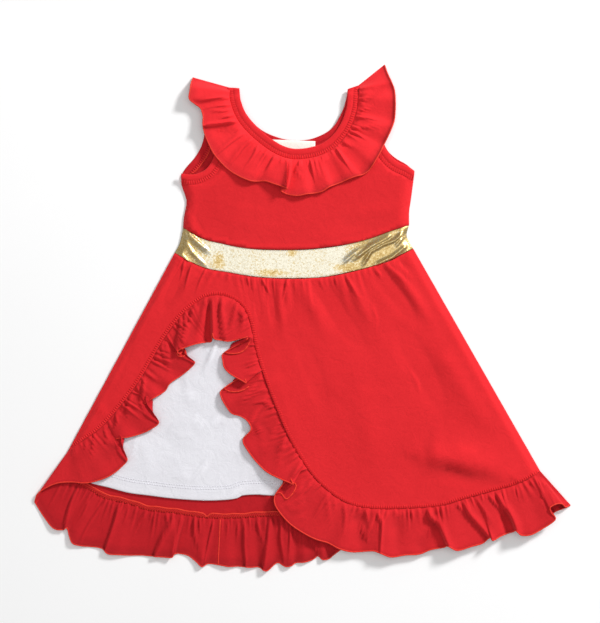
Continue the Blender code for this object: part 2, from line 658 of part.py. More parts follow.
def root_lengths(root, folds):
    """Where each fold starts on the root line: the nearest place, kept in order."""
    count = len(folds)
    least = ROOT_LEAST * root.length / count
    wanted = [root.nearest(row[0], row[1])[0] for row in folds]
    wanted[0], wanted[-1] = 0.0, root.length
    forward, backward = wanted[:], wanted[:]
    for i in range(1, count):
        forward[i] = max(forward[i], forward[i - 1] + least)
    for i in range(count - 2, -1, -1):
        backward[i] = min(backward[i], backward[i + 1] - least)
    lengths = [clamp(0.5 * (a + b), 0, root.length) for a, b in zip(forward, backward)]
    lengths[0], lengths[-1] = 0.0, root.length
    for _ in range(ROOT_EASING):
        eased = [0.25 * a + 0.5 * b + 0.25 * c
                 for a, b, c in zip(lengths, lengths[1:], lengths[2:])]
        lengths[1:-1] = eased
    return lengths


def ruffle_points(root, folds, level, samples, rows):
    """Rows of points from the root line to the free edge, one column for each sample."""
    starts = [(length,) for length in root_lengths(root, folds)]
    columns = []
    for i in range(samples * (len(folds) - 1) + 1):
        place = i / samples
        length = clamp(curve_value(starts, place, 0), 0, root.length)
        start = root.at(length)
        edge = (curve_value(folds, place, 0), curve_value(folds, place, 1))
        rise = max(curve_value(folds, place, 2), 0.0)
        column = []
        for share in rows:
            x, y = lerp(start[0], edge[0], share), lerp(start[1], edge[1], share)
            column.append((x, y, level(length, share) + rise * swell(share)))
        columns.append(column)
    return columns


def ruffle_root(seam):
    """The line that a ruffle starts on, clear of the seam on its right."""
    return Seam(moved_out(seam.samples(RUFFLE_STEP), -RUFFLE_SEAM), 2)


def add_ruffle(name, root, folds, level, rows=RUFFLE_ROWS, samples=RUFFLE_SAMPLES):
    columns = ruffle_points(root, folds, level, samples, rows)
    points = [point for column in columns for point in column]
    size = len(rows)
    faces = []
    for i in range(len(columns) - 1):
        for j in range(size - 1):
            a = i * size + j
            faces.append((a, a + 1, a + size + 1, a + size))
    return add_cloth(name, points, faces, "red_jersey")


def end_rise(length, full, reach):
    """0 at both ends of a ruffle, 1 further than reach from them."""
    return ease(0, reach, min(length, full - length))


def front_ruffle_level(length, share):
    """Underside of the front ruffle between folds: low at the side seams, high over the back."""
    x, y = FRONT_ROOT.at(length)
    over_back = ease(*OVER_BACK, x) if y < HEM_Y else 0.0
    corner = 1 - ease(0, CORNER_RUN, length)
    height = lerp(SKIRT_FRONT_Z, HEM_EDGE_Z, share * max(over_back, corner))
    return lerp(RUFFLE_JOIN_Z, height, end_rise(length, FRONT_ROOT.length, SKIRT_END_RUN))


def neck_ruffle_level(length, share):
    """Underside of the neck ruffle, brought down where it folds over the shoulders."""
    return lerp(RUFFLE_JOIN_Z, NECK_RUFFLE_Z, end_rise(length, NECK_ROOT.length, NECK_END_RUN))


def wrapped(seam):
    """The neck seam with a short run past the straps' ends at both shoulders."""
    rows = [p for p in seam.rows if p[1] < shoulder_y(p[0]) - SHOULDER_ROOM]
    return Seam([(STRAP_LEFT[0], STRAP_LEFT[1] + SHOULDER_WRAP), STRAP_LEFT] + rows
                + [STRAP_RIGHT, (STRAP_RIGHT[0], STRAP_RIGHT[1] + SHOULDER_WRAP)])


def hidden_back_folds():
    """The rest of the back ruffle: even waves under the front one."""
    edge = Seam(BACK_HIDDEN_EDGE)
    rows = []
    count = 2 * BACK_HIDDEN_FOLDS
    for i in range(count + 1):
        x, y = edge.at(edge.length * i / count)
        rise = BACK_HIDDEN_RISE * ease(0, HIDDEN_RUN, edge.length * (1 - i / count))
        rows.append((x, y - i % 2, rise if i % 2 else 0.0))
    return rows


def neck_back_folds():
    """Folds of the hidden back neck ruffle, a set width out from the back neck seam."""
    seam = Seam(moved_out(NECK_BACK, -BINDING - NECK_RUFFLE_BACK))
    rows = [(*NECK_BACK_ENDS[0], 0.0)]
    count = 2 * NECK_BACK_FOLDS
    for i in range(1, count):
        x, y = seam.at(seam.length * i / count)
        if y < NECK_BACK_TOP:
            rows.append((x, y, NECK_BACK_RISE if i % 2 else 0.0))
    return rows + [(*NECK_BACK_ENDS[1], 0.0)]


def add_waistband(name, height, columns, cells):
    """A band between the two waist seams, with its ends on the side lines."""
    left, right = BAND_ENDS
    points = []
    for row in range(cells + 1):
        down = row / cells
        start, end = left.at(left.length * down), right.at(right.length * down)
        for i in range(columns + 1):
            share = i / columns
            top = WAIST_TOP_SEAM.at(WAIST_TOP_SEAM.length * share)
            low = WAIST_SEAM.at(WAIST_SEAM.length * share)
            x, y = lerp(top[0], low[0], down), lerp(top[1], low[1], down)
            straight = (lerp(WAIST_TOP[0][0], WAIST_BOTTOM[0][0], down),
                        lerp(WAIST_TOP[-1][0], WAIST_BOTTOM[-1][0], down))
            x += (start[0] - straight[0]) * ease(BAND_BEND, 0, share)
            x += (end[0] - straight[1]) * ease(1 - BAND_BEND, 1, share)
            y += {0: -SEAM / 2, cells: SEAM / 2}.get(row, 0.0)
            points.append((x, y, height(x, y)))
    size = columns + 1
    faces = []
    for row in range(cells):
        for i in range(columns):
            a = row * size + i
            faces.append((a, a + size, a + size + 1, a + 1))
    return add_cloth(name, points, faces, "gold_lame")


def add_label():
    """The bare woven label, sewn by its top edge inside the back neck."""
    (x0, y0), (x1, y1) = LABEL_ENDS
    top = [(lerp(x0, x1, i / LABEL_CELLS[0]), lerp(y0, y1, i / LABEL_CELLS[0]))
           for i in range(LABEL_CELLS[0] + 1)]
    low = [(x, y - LABEL_DEPTH) for x, y in top]
    height = NECK_LIFT + BINDING_CLOTH + STACK
    return add_strip("neck_label", top, low, lambda x, y: height, "label_tape", LABEL_CLOTH,
                     LABEL_CELLS[1])


def mirrored_gathers():
    """Gathers of the back skirt: as many as in front, the other way round, pressed flatter."""
    middle = WAIST_BOTTOM[0][0] + WAIST_BOTTOM[-1][0]
    return [(middle - x, length, BACK_GATHERS * height)
            for x, length, height in WAIST_GATHERS[::-1]]


for old in list(bpy.data.objects):
    bpy.data.objects.remove(old, do_unlink=True)
DRESS = bpy.data.collections.new("princess_dress")
bpy.context.scene.collection.children.link(DRESS)

FRONT_ROOT = ruffle_root(Seam(FRONT_SEAM))
BACK_ROOT = ruffle_root(Seam(BACK_SEAM))
NECK_ROOT = ruffle_root(wrapped(NECK_FRONT_SEAM))
NECK_BACK_ROOT = ruffle_root(wrapped(NECK_BACK_SEAM))

add_bodice("bodice_back", ARM_LEFT_BACK, ARM_RIGHT_BACK, NECK_BACK, back_height)
add_bodice("bodice_front", ARM_LEFT_FRONT, ARM_RIGHT_FRONT, NECK_FRONT, front_height)

add_binding("neck_binding_back", NECK_BACK, -1, back_height)
add_binding("neck_binding_front", NECK_FRONT, -1, front_height)
add_binding("armhole_binding_left_back", ARM_LEFT_BACK, -1, back_height, SIDE_LEFT[0])
add_binding("armhole_binding_left_front", ARM_LEFT_FRONT, -1, front_height, SIDE_LEFT[0])
add_binding("armhole_binding_right_back", ARM_RIGHT_BACK, 1, back_height, SIDE_RIGHT[0])
add_binding("armhole_binding_right_front", ARM_RIGHT_FRONT, 1, front_height, SIDE_RIGHT[0])

add_ruffle("neck_ruffle_back", NECK_BACK_ROOT, neck_back_folds(), on_surface, samples=1)
add_ruffle("neck_ruffle_front", NECK_ROOT, NECK_FOLDS, neck_ruffle_level)
add_label()

add_waistband("waistband_back", on_surface, *BACK_BAND_CELLS)
add_waistband("waistband_front", band_height, *FRONT_BAND_CELLS)

add_skirt("skirt_back", Skirt(BACK_SEAM, mirrored_gathers(), on_surface), "red_jersey")
add_skirt("underskirt_front", Skirt(UNDERSKIRT_HEM, [], underskirt_height, UNDERSKIRT_IN),
          "white_jersey")
add_skirt("skirt_front", Skirt(FRONT_SEAM, WAIST_GATHERS, skirt_front_height), "red_jersey")

add_ruffle("skirt_ruffle_back", BACK_ROOT, BACK_FOLDS + hidden_back_folds(), on_surface)
add_ruffle("skirt_ruffle_front", FRONT_ROOT, FRONT_FOLDS, front_ruffle_level)
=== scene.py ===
"""A child's princess dress laid flat: the looks of each piece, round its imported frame."""

# %% [markdown]
# # A princess dress, laid flat
#
# A dress is a set of flat-cut pieces of knitted cloth that are sewn together. This lesson makes
# each piece as a thin shell on the form of its solid in the frame, then sews on the seams that
# show. It starts by loading the frame.

# %% Load the frame
import math
import random

import bpy
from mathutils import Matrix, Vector
from mathutils.bvhtree import BVHTree
from mathutils.geometry import delaunay_2d_cdt


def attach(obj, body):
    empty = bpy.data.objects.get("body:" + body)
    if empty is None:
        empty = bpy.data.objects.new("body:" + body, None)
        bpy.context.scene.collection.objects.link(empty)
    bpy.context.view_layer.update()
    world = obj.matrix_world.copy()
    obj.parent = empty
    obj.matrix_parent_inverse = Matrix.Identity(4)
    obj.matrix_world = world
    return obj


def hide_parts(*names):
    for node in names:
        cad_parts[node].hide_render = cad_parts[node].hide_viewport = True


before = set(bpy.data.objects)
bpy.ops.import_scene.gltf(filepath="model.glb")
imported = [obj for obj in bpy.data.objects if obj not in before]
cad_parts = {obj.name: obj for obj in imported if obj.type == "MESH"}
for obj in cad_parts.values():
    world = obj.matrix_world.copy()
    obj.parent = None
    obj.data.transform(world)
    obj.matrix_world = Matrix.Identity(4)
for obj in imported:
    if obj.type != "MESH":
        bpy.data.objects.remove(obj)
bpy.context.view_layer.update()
print("pieces of the frame:", len(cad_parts))

# %% [markdown]
# ## Sizes
#
# All sizes are in millimetres and turned into metres only when a mesh is made. Jersey is about
# 0.7 mm thick with its nap. The heights are those of the undersides of the layers, from the
# surface that the dress lies on: back, white underskirt, front, ruffles.

# %% Sizes of the cloth and heights of its layers
MM = 0.001
JERSEY = 0.7               # thickness of the cloth
LIFT = 0.15                # room under each layer
BINDING = 12.5             # width of the neck and armhole bindings
TUCK = 0.8                 # how far a panel runs in under its binding
NECK_RUFFLE_BACK = 33.0    # width of the hidden back neck ruffle
SHOULDER_WRAP = 6.0        # how far the neck ruffle runs past the straps' ends
UNDERSKIRT_IN = 14.0       # how far inside the waist's ends the underskirt starts

NECK_LIFT = 2.2            # back neck, which the hidden ruffle under it lifts
UNDERSKIRT_Z = 2.7
SKIRT_FRONT_Z = 4.3
SKIRT_AIR = 0.5            # room that the gathers keep under the front skirt
WAIST_FRONT_Z = 4.0
NECK_FRONT_Z = 5.7
NECK_RUFFLE_Z = 7.9
HEM_EDGE_Z = 6.1           # free edge of the front ruffle where it lies on the back one
JOIN_Z = 0.9               # front pieces where a side seam joins them to the back
SHOULDER_JOIN_Z = 3.9      # front straps where the shoulder seam joins them to the back ones
OVER_UNDERSKIRT = 3.85     # no trough of the front goes lower, because the underskirt is there
ROLL_IN = 9.0              # from a side seam to where the front has come up to its height
LEAST_Z = 0.05             # no underside comes nearer to the surface than this
print("one layer is", JERSEY, "mm thick, and the highest lies", NECK_RUFFLE_Z, "mm up")

# %% Spots read off the photograph
PIXEL = 1.17               # millimetres to a pixel
ORIGIN_PIXEL = (302.5, 318.0)    # where the frame's origin lies in the photograph


def from_photo(x, y):
    """A spot of the photograph, in the frame's millimetres."""
    return (x - ORIGIN_PIXEL[0]) * PIXEL, (ORIGIN_PIXEL[1] - y) * PIXEL


PHOTO_WIDTH = 600
print("the photograph is", round(PHOTO_WIDTH * PIXEL), "mm wide at this scale")

# %% [markdown]
# ## Cut lines and seams
#
# A pattern cutter draws a few points and joins them with a French curve. Here each line is a
# short table of points, seen from above, and the lines are the same as those of the frame.

# %% Cut lines of the bodice
NECK_FRONT = [
    (-74, 269), (-72, 254), (-64, 236), (-47, 218), (-24, 202), (-3, 198),
    (24, 205), (42, 223), (51, 245), (53, 268)]
NECK_BACK = [
    (-74, 269), (-72, 254), (-65, 238), (-49, 221), (-27, 211), (-6, 208),
    (14, 211), (34, 222), (46, 241), (51, 256), (53, 268)]
ARM_LEFT_FRONT = [
    (-142, 169), (-128, 168), (-116, 172), (-108, 180), (-103, 191), (-101, 205), (-105, 230),
    (-110, 248), (-113, 261)]
ARM_LEFT_BACK = [
    (-142, 168), (-136, 177), (-125, 190), (-117, 206), (-114, 225), (-113, 245), (-113, 261)]
ARM_RIGHT_FRONT = [
    (131, 172), (124, 177), (111, 183), (102, 191), (95, 202), (90, 216), (88, 234), (90, 252),
    (93, 268)]
ARM_RIGHT_BACK = [
    (131, 172), (122, 180), (110, 187), (101, 195), (95, 206), (91, 220), (89, 236), (90, 252),
    (93, 268)]
STRAP_LEFT = (-87, 264)
STRAP_RIGHT = (66, 267)
SIDE_LEFT = [(-142, 156), (-137, 142), (-136, 134), (-139, 118), (-140, 106)]
SIDE_RIGHT = [(130, 160), (127, 138), (125, 124), (125, 109)]
print("points on the front neck:", len(NECK_FRONT), "on an armhole:", len(ARM_LEFT_FRONT))

# %% Seams of the waistband and the skirts
WAIST_TOP = [
    (-140, 106), (-116, 93), (-97, 88), (-67, 82), (-29, 80), (10, 81), (49, 86), (78, 93),
    (103, 102), (125, 109)]
WAIST_BOTTOM = [
    (-150, 76), (-136, 68), (-114, 58), (-87, 53), (-58, 48), (-29, 46), (1, 46), (29, 48),
    (54, 53), (78, 59), (103, 67), (116, 74), (130, 81)]
BAND_LEFT = [(-140, 106), (-142, 94), (-145, 84), (-150, 76)]
BAND_RIGHT = [(125, 109), (122, 97), (125, 88), (130, 81)]

# Columns: x, y, share of the waist above it.
FRONT_SEAM = [
    (-275, -156, 0.0), (-255, -142, 0.02), (-238, -130, 0.04), (-219, -110, 0.06),
    (-191, -73, 0.085), (-164, -27, 0.115), (-146, -2, 0.14), (-132, 12, 0.16), (-115, 24, 0.185),
    (-99, 27, 0.21), (-83, 23, 0.24), (-69, 12, 0.27), (-61, -6, 0.30), (-55, -36, 0.33),
    (-46, -66, 0.36), (-32, -103, 0.40), (-16, -140, 0.44), (5, -175, 0.48), (25, -198, 0.52),
    (51, -216, 0.565), (80, -223, 0.61), (121, -223, 0.67), (161, -220, 0.73), (189, -212, 0.78),
    (221, -203, 0.84), (252, -194, 0.91), (279, -180, 1.0)]
BACK_SEAM = [
    (-275, -156, 0.0), (-274, -172, 0.02), (-270, -186, 0.04), (-261, -195, 0.07),
    (-249, -201, 0.10), (-232, -211, 0.13), (-202, -218, 0.18), (-180, -225, 0.22),
    (-145, -229, 0.27), (-111, -234, 0.33), (-76, -234, 0.38), (-42, -232, 0.44),
    (0, -231, 0.51), (50, -230, 0.59), (114, -227, 0.69), (170, -219, 0.79), (221, -206, 0.88),
    (254, -195, 0.94), (279, -180, 1.0)]
UNDERSKIRT_HEM = [
    (-262, -158, 0.0), (-262, -176, 0.03), (-253, -191, 0.06), (-226, -199, 0.12),
    (-203, -205, 0.17), (-180, -208, 0.22), (-157, -211, 0.27), (-134, -213, 0.32),
    (-111, -214, 0.37), (-88, -213, 0.41), (-76, -211, 0.43), (-70, -208, 0.44),
    (-53, -207, 0.47), (-33, -208, 0.51), (32, -208, 0.62), (114, -204, 0.76),
    (196, -189, 0.90), (262, -166, 1.0)]
print("rows of the lower seams:", len(FRONT_SEAM), len(BACK_SEAM), len(UNDERSKIRT_HEM))

# %% [markdown]
# ## Folds
#
# A ruffle is a strip that is longer than the seam it is gathered into, so its free edge runs in
# waves. Each row below is one turn of that edge: where it lies, how far it rises, and how far the
# cloth rolls over there. Where the edge doubles back, as on the right of the arch, a row on the
# tip of a lobe is followed by a low row under it, and the cloth between them is the reverse side.

# %% Folds of the front ruffle, from the left side seam round the arch (x, y, rise, roll)
ARCH_FOLDS = [
    (-314, -216, 0, 0), (-310, -206, 2.5, 0), (-299, -198, 4, 0), (-286, -193, 3, 0),
    (-270, -192, 0.8, 0), (-256, -193, 0.3, 0), (-243, -191, 1.2, 0), (-229, -186, 2.6, 0),
    (-219, -180, 2.2, 0), (-211, -173, 2.6, 0), (-205, -166, 3.2, 0), (-204, -155, 0.6, 9),
    (-204, -143, 0.4, 11), (-218, -142, 0.6, 0), (-212, -140, 3.0, 0), (-203, -139, 3.6, 0),
    (-189, -135, 1.8, 0), (-178, -130, 3.2, 0), (-168, -122, 4.2, 0), (-169, -108, 0.8, 14),
    (-171, -96, 0.5, 13), (-184, -100, 0.8, 0), (-177, -95, 3.4, 0), (-170, -91, 3.8, 0),
    (-161, -85, 1.2, 0), (-155, -76, 3.2, 0), (-142, -67, 0.8, 0), (-132, -59, 2.6, 0),
    (-126, -52, 3.6, 0), (-128, -46, 0.6, 10), (-132, -39, 0.3, 6), (-143, -42, 4.6, 0),
    (-145, -38, 6.6, 0), (-131, -32, 8.2, 0), (-119, -29, 5.0, 0), (-112, -28, 0.6, 0),
    (-107, -27, 0.2, 0), (-105, -18, 4.4, 0), (-103, -24, 5.0, 0), (-94, -26, 4.6, 0),
    (-86, -27, 5, 0), (-76, -25, 6.2, 0), (-64, -22, 7.4, 0), (-87, -30, 0.4, 16),
    (-92, -37, 0.4, 8), (-94, -43, 1.2, 0.5), (-93, -50, 3.2, 0), (-91, -58, 4.6, 0),
    (-83, -66, 6.2, 0), (-66, -76, 7.6, 0), (-85, -72, 0.4, 14), (-92, -79, 0.4, 7),
    (-96, -86, 1.2, 0.5), (-95, -92, 3.4, 0), (-91, -100, 4.4, 0), (-83, -111, 2.4, 0),
    (-72, -115, 0.6, 0), (-64, -122, 2.6, 1), (-65, -133, 0.8, 5), (-70, -143, 0.4, 0.5),
    (-63, -156, 2.8, 0), (-53, -169, 1.6, 0), (-41, -180, 3.6, 0), (-27, -187, 5.8, 0),
    (-11, -194, 7.4, 0), (-27, -192, 0.4, 12), (-31, -200, 0.4, 7), (-33, -208, 1.2, 1),
    (-32, -218, 3.2, 0), (-25, -229, 3, 0), (-14, -241, 0.8, 0), (1, -251, 2.6, 0)]
HEM_FOLDS = [
    (15, -258, 3.6, 0), (30, -263, 0.4, 0), (42, -269, 3.2, 0), (56, -273, 2.0, 0),
    (69, -273, 0.4, 0), (82, -272, 2.6, 0), (90, -274, 4.6, 0), (103, -279, 3.4, 0),
    (120, -277, 1.2, 0), (137, -276, 0.4, 0), (150, -271, 0.2, 0), (165, -268, 0.4, 0),
    (170, -266, 3.6, 0), (181, -271, 4.8, 0), (197, -267, 2.2, 0), (211, -263, 0.6, 0),
    (219, -256, 0.4, 0), (222, -259, 4.4, 0), (233, -254, 3.0, 0), (246, -250, 0.5, 0),
    (249, -248, 3.4, 0), (255, -253, 4.6, 0), (266, -253, 4.8, 0), (280, -246, 3.2, 0),
    (292, -238, 4.2, 0), (295, -233, 4.4, 0), (290, -227, 5.0, 0), (289, -221, 6.0, 0),
    (296, -217, 6.8, 0), (303, -217, 6.6, 0), (308, -221, 4.4, 0), (314, -219, 1.0, 0)]
FRONT_FOLDS = ARCH_FOLDS + HEM_FOLDS
print("folds of the front ruffle:", len(FRONT_FOLDS))

# %% Folds of the back ruffle and of the neck ruffle (x, y, rise)
BACK_FOLDS = [
    (-314, -216, 0.0), (-303, -233, 0.8), (-292, -246, 2.6), (-281, -248, 2.8),
    (-276, -246, 0.3), (-273, -256, 2.6), (-269, -264, 3.4), (-259, -267, 1.4),
    (-247, -268, 0.3), (-235, -270, 1.4), (-228, -276, 3.4), (-217, -277, 3.8),
    (-204, -278, 0.8), (-190, -278, 0.2), (-176, -279, 1.2), (-162, -280, 3.4),
    (-153, -280, 4.0), (-149, -276, 0.3), (-135, -278, 0.8), (-125, -285, 2.2),
    (-118, -291, 3.8), (-111, -288, 0.3), (-99, -289, 2.2), (-87, -291, 3.0),
    (-75, -291, 0.4), (-62, -292, 2.8), (-51, -292, 0.4), (-42, -296, 4.0),
    (-30, -287, 0.3), (-20, -291, 3.2), (-13, -290, 3.4), (-8, -287, 0.3),
    (2, -286, 2.8), (12, -283, 0.6), (18, -279, 0.2), (24, -283, 3.4),
    (31, -282, 1.0), (36, -278, 0.2)]
BACK_HIDDEN_EDGE = [
    (48, -270), (80, -267), (130, -269), (175, -263), (215, -255), (250, -244), (285, -233),
    (302, -224), (314, -220)]
BACK_HIDDEN_FOLDS = 15
BACK_HIDDEN_RISE = 1.8
NECK_FOLDS = [
    (-128, 282, 0.0), (-130, 275, 1.2), (-131, 266, 3.2), (-132, 256, 4.0),
    (-125, 250, 0.3), (-119, 245, 1.2), (-116, 236, 3.4), (-116, 225, 3.6),
    (-114, 215, 0.6), (-110, 205, 0.8), (-104, 193, 3.6), (-97, 184, 3.4),
    (-88, 175, 0.4), (-78, 168, 1.6), (-68, 163, 3.6), (-59, 160, 3.2),
    (-51, 160, 0.4), (-43, 160, 2.2), (-34, 157, 4.4), (-18, 151, 7.0),
    (-25, 149, 3.4), (-18, 145, 0.4), (-6, 143, 2.6), (5, 145, 3.4),
    (14, 146, 0.5), (23, 148, 2.4), (31, 153, 3.8), (38, 156, 0.6),
    (46, 159, 0.4), (55, 163, 3.0), (64, 166, 3.2), (71, 168, 0.4),
    (78, 173, 1.0), (84, 182, 3.8), (91, 194, 2.6), (95, 203, 0.4),
    (100, 213, 2.8), (104, 222, 3.2), (107, 231, 0.4), (108, 242, 1.8),
    (108, 255, 3.8), (107, 267, 0.6), (103, 277, 2.6), (99, 287, 2.4),
    (96, 297, 0.0)]
NECK_BACK_ENDS = [(-124, 279), (93, 294)]
NECK_BACK_FOLDS = 14
NECK_BACK_RISE = 0.6
print("folds of the back ruffle:", len(BACK_FOLDS), "and of the neck ruffle:", len(NECK_FOLDS))

# %% [markdown]
# ## Creases
#
# Ruffles and gathered skirts have creases that a smooth wave can't give. Each one is placed where
# the photograph shows it, so its spots are read off in pixels. A crease is steep on the right of
# its run, where a dark line shows, and soft on the left. A soft fold is as wide on both sides, and
# a trough has a negative height. Lengths, depths and widths differ, as real ones do. A cloth
# simulation would give other creases than the photograph's, so none is used.

# %% Make a crease from spots on the photograph
STEEP = 0.32               # width of a crease's steep side, as a share of its soft side
DEPTH = 1.9                # raises all the heights below, which looked too low as first written
REACH = 2.6                # a crease has faded out this many widths from its run


def crease(width, height, spots, end=0.25, steep=STEEP):
    """A crease of a width and height in millimetres. end is the share of height at its end."""
    points = [from_photo(x, y) for x, y in spots]
    lengths = [0.0]
    for a, b in zip(points, points[1:]):
        lengths.append(lengths[-1] + math.dist(a, b))
    xs, ys = [p[0] for p in points], [p[1] for p in points]
    reach = REACH * width
    box = (min(xs) - reach, max(xs) + reach, min(ys) - reach, max(ys) + reach)
    return points, lengths, width, height * DEPTH, end, steep, box


def fold(width, height, spots, end=0.1):
    """A soft fold, the same on both sides."""
    return crease(width, height, spots, end, 1.0)


print("a crease 3 mm wide reaches", round(3 * REACH, 1), "mm to each side")

# %% Gathers at the waist (x, length, height)
WAIST_GATHERS = [
    (-135, 40, 0.9), (-117, 38, 0.8), (-105, 44, 1.1), (-79, 30, 0.6), (-59, 58, 1.1),
    (-40, 62, 1.2), (-19, 60, 1.4), (7, 62, 1.0), (25, 54, 0.9), (43, 60, 1.2), (64, 50, 0.8),
    (89, 44, 1.2), (104, 38, 1.0), (117, 32, 0.7)]
print("large gathers at the waist:", len(WAIST_GATHERS))

# %% Creases of the bodice, the skirts and the waistband
BODICE_CREASES = [
    crease(5, 1.1, [(199, 234), (193, 222), (186, 206)]),
    fold(9, 0.5, [(354, 214), (380, 208), (404, 207)]),
    fold(9, 0.4, [(226, 216), (262, 224), (290, 229)]),
    fold(8, 0.4, [(318, 236), (345, 232), (372, 226)]),
    fold(7, 0.35, [(232, 205), (262, 212), (282, 211)]),
    crease(4, 0.6, [(392, 168), (402, 175), (411, 177)])]
SKIRT_CREASES = [
    crease(2.6, 1.1, [(184, 262), (182, 273), (178, 285)]),
    crease(2.2, 0.9, [(191, 266), (188, 276), (185, 287)]),
    crease(2.8, 0.9, [(206, 269), (200, 281), (196, 292)]), crease(2.4, 0.6, [(229, 274), (226, 283)]),
    crease(2.2, 0.6, [(247, 277), (249, 286)]), crease(2.6, 1.0, [(262, 279), (266, 287), (271, 296)]),
    crease(2.8, 1.2, [(287, 280), (285, 290), (282, 303)]), crease(2.2, 0.7, [(302, 280), (304, 291)]),
    crease(2.8, 1.0, [(318, 279), (323, 288), (329, 299)]), crease(2.2, 0.7, [(335, 278), (337, 287)]),
    crease(2.8, 1.0, [(346, 277), (352, 287), (359, 299)]),
    crease(3.2, 1.2, [(376, 271), (384, 279), (395, 289)]),
    crease(2.4, 0.9, [(389, 267), (397, 275), (408, 285)]),
    crease(2.4, 0.9, [(397, 264), (404, 271), (414, 281)]),
    crease(22, 3.3, [(424, 456), (446, 459), (468, 464), (486, 466), (504, 475)], 0.4, 0.42),
    fold(7, -1.2, [(442, 468), (462, 475), (480, 477)], 0.3),
    fold(8, 0.7, [(456, 449), (470, 451), (482, 457)]),
    fold(9, -1.5, [(316, 281), (331, 302), (350, 330), (374, 356)]),
    fold(8, 1.2, [(346, 278), (361, 302), (379, 336)]),
    fold(8, -1.7, [(377, 270), (395, 292), (421, 324)]),
    fold(7, 1.4, [(391, 266), (411, 291), (437, 332)]),
    fold(5, 1.1, [(280, 284), (281, 306), (284, 338)]),
    fold(3, -1.0, [(287, 282), (284, 296), (282, 313)]),
    fold(6, -1.0, [(267, 281), (270, 300), (277, 332)]),
    fold(8, 1.0, [(300, 284), (315, 309), (331, 346)]),
    fold(6, -1.3, [(186, 264), (175, 285), (160, 316)]),
    fold(4, 0.9, [(199, 271), (187, 285), (176, 302)]),
    fold(7, -0.9, [(132, 340), (116, 374), (100, 406)]),
    crease(3.4, 0.9, [(94, 409), (101, 409), (107, 417)]),
    fold(15, 0.8, [(270, 368), (284, 418), (310, 460)]),
    fold(13, -1.3, [(402, 332), (431, 382), (452, 430)]),
    fold(12, 1.1, [(438, 346), (470, 398), (500, 440)]),
    fold(14, 0.7, [(358, 380), (369, 430), (381, 480)]),
    fold(10, -0.8, [(300, 340), (318, 380), (330, 424)]),
    fold(6, -0.8, [(250, 286), (257, 306), (262, 330)]),
    crease(2.6, 0.6, [(410, 372), (416, 380), (419, 392)]),
    crease(2.4, 0.5, [(372, 306), (376, 318), (375, 330)])]
UNDERSKIRT_CREASES = [
    crease(5, 1.0, [(217, 341), (211, 355), (204, 371)], 0.3),
    fold(5, 0.35, [(222, 345), (222, 362), (220, 380)]),
    crease(4, 0.45, [(211, 425), (217, 422), (226, 418)]),
    crease(5, 0.5, [(184, 393), (192, 399), (201, 405)]),
    crease(4, 0.4, [(192, 418), (200, 425), (209, 433)]),
    fold(5, -0.4, [(180, 376), (181, 386), (185, 396)]),
    crease(5, 0.4, [(206, 462), (202, 470), (194, 478)]),
    fold(6, 0.35, [(178, 472), (188, 476), (196, 474)]),
    fold(9, 0.35, [(140, 438), (150, 462), (146, 484)]),
    crease(5, 0.35, [(225, 386), (232, 402), (236, 420)]),
    fold(8, -0.35, [(160, 430), (176, 446), (200, 452)]),
    crease(4, 0.35, [(136, 440), (133, 450), (134, 464)]),
    fold(9, 0.3, [(246, 448), (252, 464), (266, 478)]),
    crease(4, 0.4, [(231, 497), (238, 492), (246, 489)])]
BAND_CREASES = [
    crease(4.4, 2.0, [(208, 250), (196, 240), (186, 230)], 0.6),
    crease(3.2, 1.5, [(205, 264), (193, 252), (184, 238)]),
    crease(3, 1.1, [(190, 263), (182, 254), (178, 247)]),
    crease(4.2, 2.1, [(355, 259), (371, 247), (388, 238)], 0.6),
    crease(3, 1.9, [(364, 264), (371, 252), (384, 245), (395, 241), (409, 228)], 0.7),
    crease(3, 1.6, [(376, 265), (392, 258), (407, 246)], 0.7),
    crease(3.4, 1.1, [(344, 263), (354, 254), (364, 246)]),
    crease(2.6, 1.0, [(396, 247), (403, 238), (411, 234)])]
print("creases:", [len(rows) for rows in (
    BODICE_CREASES, SKIRT_CREASES, UNDERSKIRT_CREASES, BAND_CREASES)])

